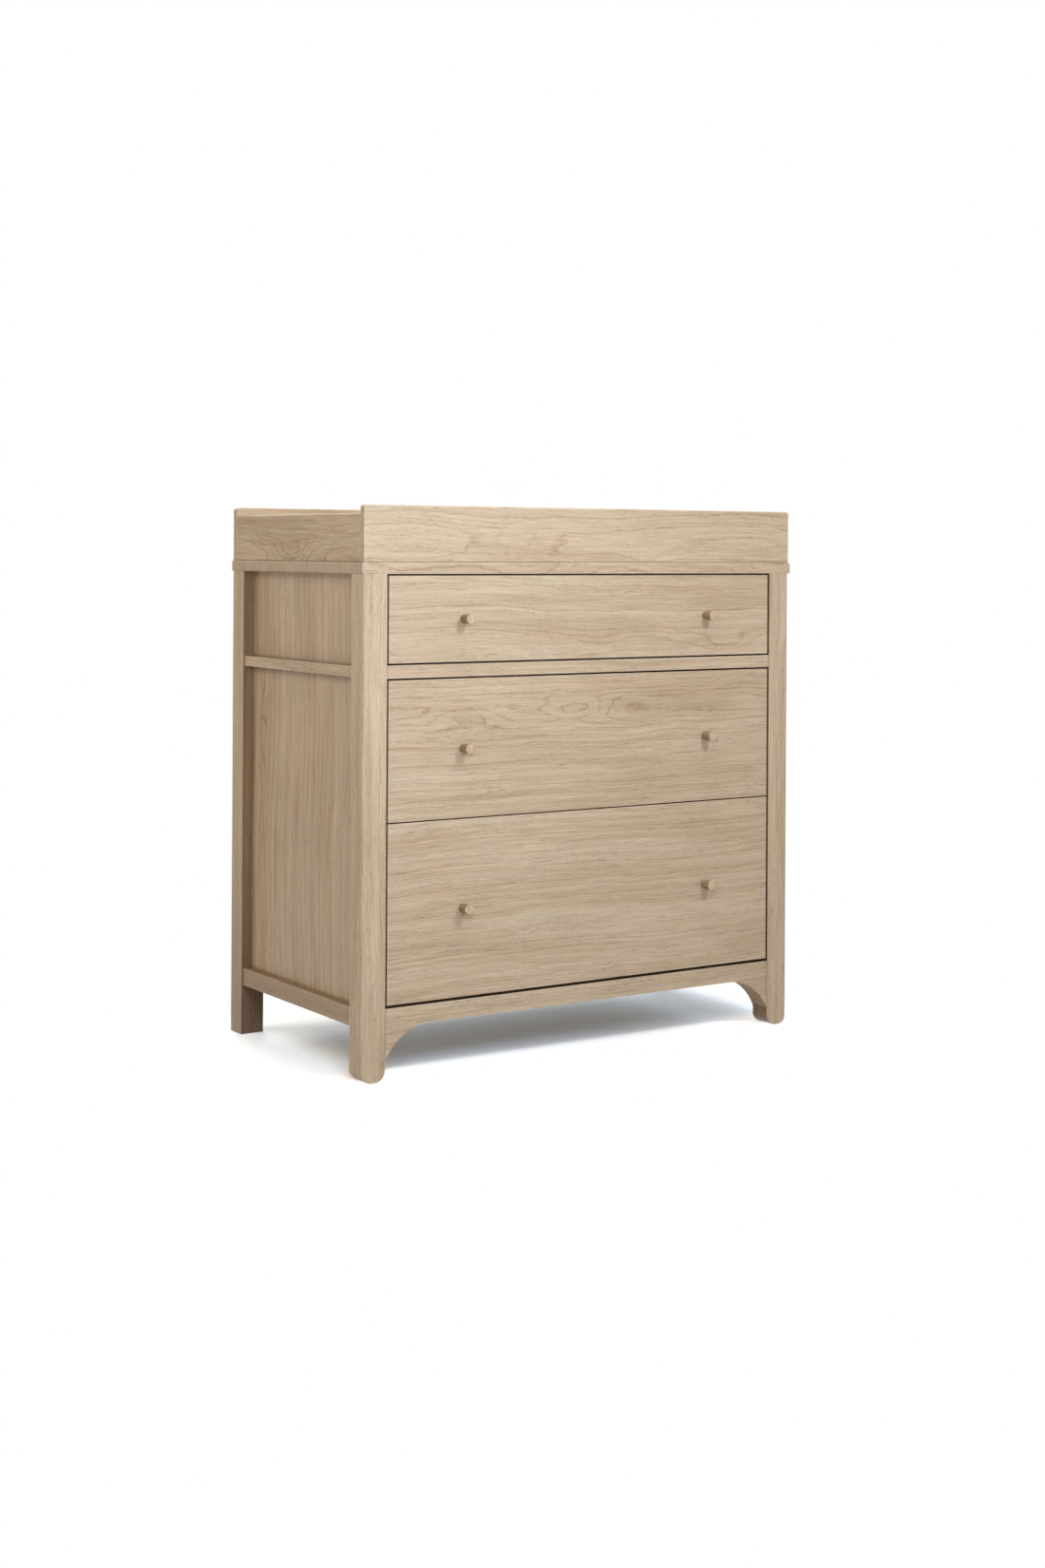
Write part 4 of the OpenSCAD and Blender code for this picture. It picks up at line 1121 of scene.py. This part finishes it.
def make_chest_screws():
    """The screws in the back panel, the tray's plates and the wall anchor, and those that come up
    through the top rails into the top panel."""
    panel, width = node_box("back_panel")[1], 2 * node_box("front_right_leg")[1].x
    base_rail, top_rail = node_box("back_base_rail")[2], node_box("rear_top_rail")[2]
    low, high, _ = node_box("tray_fixing_plates")
    spots = [(width * part, panel.y, z) for part in PANEL_SCREWS for z in (base_rail.z, top_rail.z)]
    rises = (low.z + PLATE_SCREW_END, high.z - PLATE_SCREW_END)
    spots += [(side * (high.x - PLATE_HALF), high.y, z) for side in (-1, 1) for z in rises]
    anchor_x = PLATE_HALF - PLATE_SCREW_END
    spots += [(side * anchor_x, panel.y + PLATE_SHEET, top_rail.z) for side in (-1, 1)]
    screws = driven(WOOD_SCREW, BACK_SCREW, (0, 1, 0), spots)
    make_piece("back_cross_screws", "back_screws", [(screws, SCREW_ZINC)])

    spots = []
    for rail in ("front_top_rail", "rear_top_rail"):
        low, _, middle = node_box(rail)
        spots += [(width * part, middle.y, low.z) for part in TOP_SCREWS]
    screws = driven(WOOD_SCREW, TOP_SCREW, (0, 0, -1), spots)
    make_piece("top_cross_screws", "top_fixing_screws", [(screws, SCREW_ZINC)])


make_slides()
make_plates()
make_slide_screws()
make_chest_screws()

# ---- studio ----

FILL = 0.31
FILL_COLOUR = (1.0, 0.79, 0.60, 1.0)
FLOOR_REACH = 12.0
FLOOR_BOUNCE = (0.5, 0.5, 0.5, 1.0)
FLOOR_SEEN = (1.50, 1.66, 1.78, 1.0)
SHADOW_LIFT = 0.10
# Rectangles of the floor: half the sides, the widths of the faded border, and the middle.
SHADOW_LAND = ((0.45, 0.25), (0.15, 0.05), (0.0, 0.07))
CORE_LAND = ((0.36, 0.06), (0.16, 0.18), (0.09, 0.01))
# Painted shade on the floor: CORE_TINT paints a shadow under the chest, LEFT_TINT and RIGHT_TINT shift the
# colour and brightness of its shade from left to right, and FRONT_TINT paints the shadow's front edge paler.
CORE_TINT = (0.745, 0.84, 0.96, 1.0)
LEFT_TINT = (1.05, 1.07, 1.09, 1.0)
RIGHT_TINT = (1.04, 1.0, 0.955, 1.0)
LEFT_TO_RIGHT = (-0.45, 0.45)
FRONT_TINT = (1.34, 1.24, 1.12, 1.0)
FRONT_EDGE = (-0.205, -0.120, 1.0, 0.0)

Lamp = namedtuple("Lamp", "name place aim size power colour", defaults=((1.0, 1.0, 1.0),))
LAMPS = (
    Lamp("key", (0.25, -1.85, 1.90), (-0.05, 0.0, 0.55), 0.30, 17.8, (0.84, 0.93, 1.0)),
    Lamp("left_lamp", (-0.92, -1.42, 0.98), (-0.42, -0.24, 0.60), 0.5, 10.0, (0.80, 0.86, 1.0)),
    Lamp("left_far", (-2.3, 0.60, 1.9), (-0.46, 0.0, 0.50), 1.0, 12.5, (1.0, 0.87, 0.72)),
    Lamp("top_lamp", (-0.1, -0.55, 2.3), (-0.1, -0.05, 0.9), 0.8, 10.0),
    Lamp("sheen_lamp", (0.40, -1.85, 1.00), (-0.40, -0.24, 0.85), 0.5, 1.6, (0.60, 0.66, 1.0)),
    Lamp("rear_lamp", (0.4, 2.6, 1.5), (0.0, 0.2, 0.5), 1.2, 26.0),
    Lamp("right_lamp", (2.8, 0.5, 1.4), (0.1, 0.0, 0.5), 1.2, 22.0),
)


def seen(work):
    """1 for what the camera sees, straight or by way of gloss or glass."""
    path = work.add("ShaderNodeLightPath").outputs
    straight = work.larger(path["Is Camera Ray"], path["Is Glossy Ray"])
    return work.larger(straight, path["Is Transmission Ray"])


def make_world():
    """Even soft light from all round; the camera, gloss and glass see it as white."""
    world = bpy.data.worlds.new("studio")
    bpy.context.scene.world = world
    work = emptied(world)
    fill = work.add("ShaderNodeBackground", FILL_COLOUR, FILL)
    white = work.add("ShaderNodeBackground", WHITE, 1.0)
    both = work.add("ShaderNodeMixShader", seen(work), fill.outputs[0], white.outputs[0])
    work.add("ShaderNodeOutputWorld", both.outputs[0])


def beyond(work, x, y, land):
    """0 on a rectangle of the floor and 1 past its faded border."""
    past = []
    for value, half, fade, middle in zip((x, y), *land):
        from_middle = work.size(work.less(value, middle))
        past.append(work.over(work.larger(work.less(from_middle, half), 0.0), fade))
    return work.span(work.vector("LENGTH", work.whole(*past, 0.0)), 0.0, 1.0)


def make_floor():
    """A pale floor that keeps the soft shadow near the chest, with a painted shadow under it and painted
    tints of its shade, and turns plain white further out.
    """
    mesh = bpy.data.meshes.new("floor")
    r = FLOOR_REACH
    mesh.from_pydata([(-r, -r, 0), (r, -r, 0), (r, r, 0), (-r, r, 0)], [], [(0, 1, 2, 3)])
    floor = bpy.data.objects.new("floor", mesh)
    bpy.context.scene.collection.objects.link(floor)
    material = bpy.data.materials.new("floor")
    work = emptied(material)
    shown = seen(work)
    x, y, _ = work.split(work.add("ShaderNodeTexCoord").outputs["Object"])
    # Painted shade: tints from left to right, a painted shadow under the chest and a paler front edge.
    tint = work.mix(work.span(x, *LEFT_TO_RIGHT), LEFT_TINT, RIGHT_TINT)
    tint = work.mix(beyond(work, x, y, CORE_LAND), CORE_TINT, tint)
    tint = work.mix(work.span(y, *FRONT_EDGE), tint, FRONT_TINT)
    pale = work.mix(1.0, FLOOR_SEEN, tint, blend="MULTIPLY")
    paint = work.add("ShaderNodeBsdfDiffuse", work.mix(shown, FLOOR_BOUNCE, pale))
    lift = work.add("ShaderNodeEmission", WHITE, work.times(shown, SHADOW_LIFT))
    near = work.add("ShaderNodeAddShader", paint.outputs[0], lift.outputs[0])
    white = work.add("ShaderNodeEmission", WHITE, 1.0)
    away = work.times(beyond(work, x, y, SHADOW_LAND), shown)
    far = work.add("ShaderNodeMixShader", away, near.outputs[0], white.outputs[0])
    work.add("ShaderNodeOutputMaterial", far.outputs[0])
    mesh.materials.append(material)


def make_lamp(lamp):
    """A square soft light that the camera doesn't see."""
    data = bpy.data.lights.new(lamp.name, "AREA")
    data.size = lamp.size
    data.energy = lamp.power
    data.color = lamp.colour
    light = bpy.data.objects.new(lamp.name, data)
    light.location = lamp.place
    light.visible_camera = False
    way = Vector(lamp.aim) - Vector(lamp.place)
    light.rotation_euler = way.to_track_quat("-Z", "Y").to_euler()
    bpy.context.scene.collection.objects.link(light)


make_world()
make_floor()
for lamp in LAMPS:
    make_lamp(lamp)
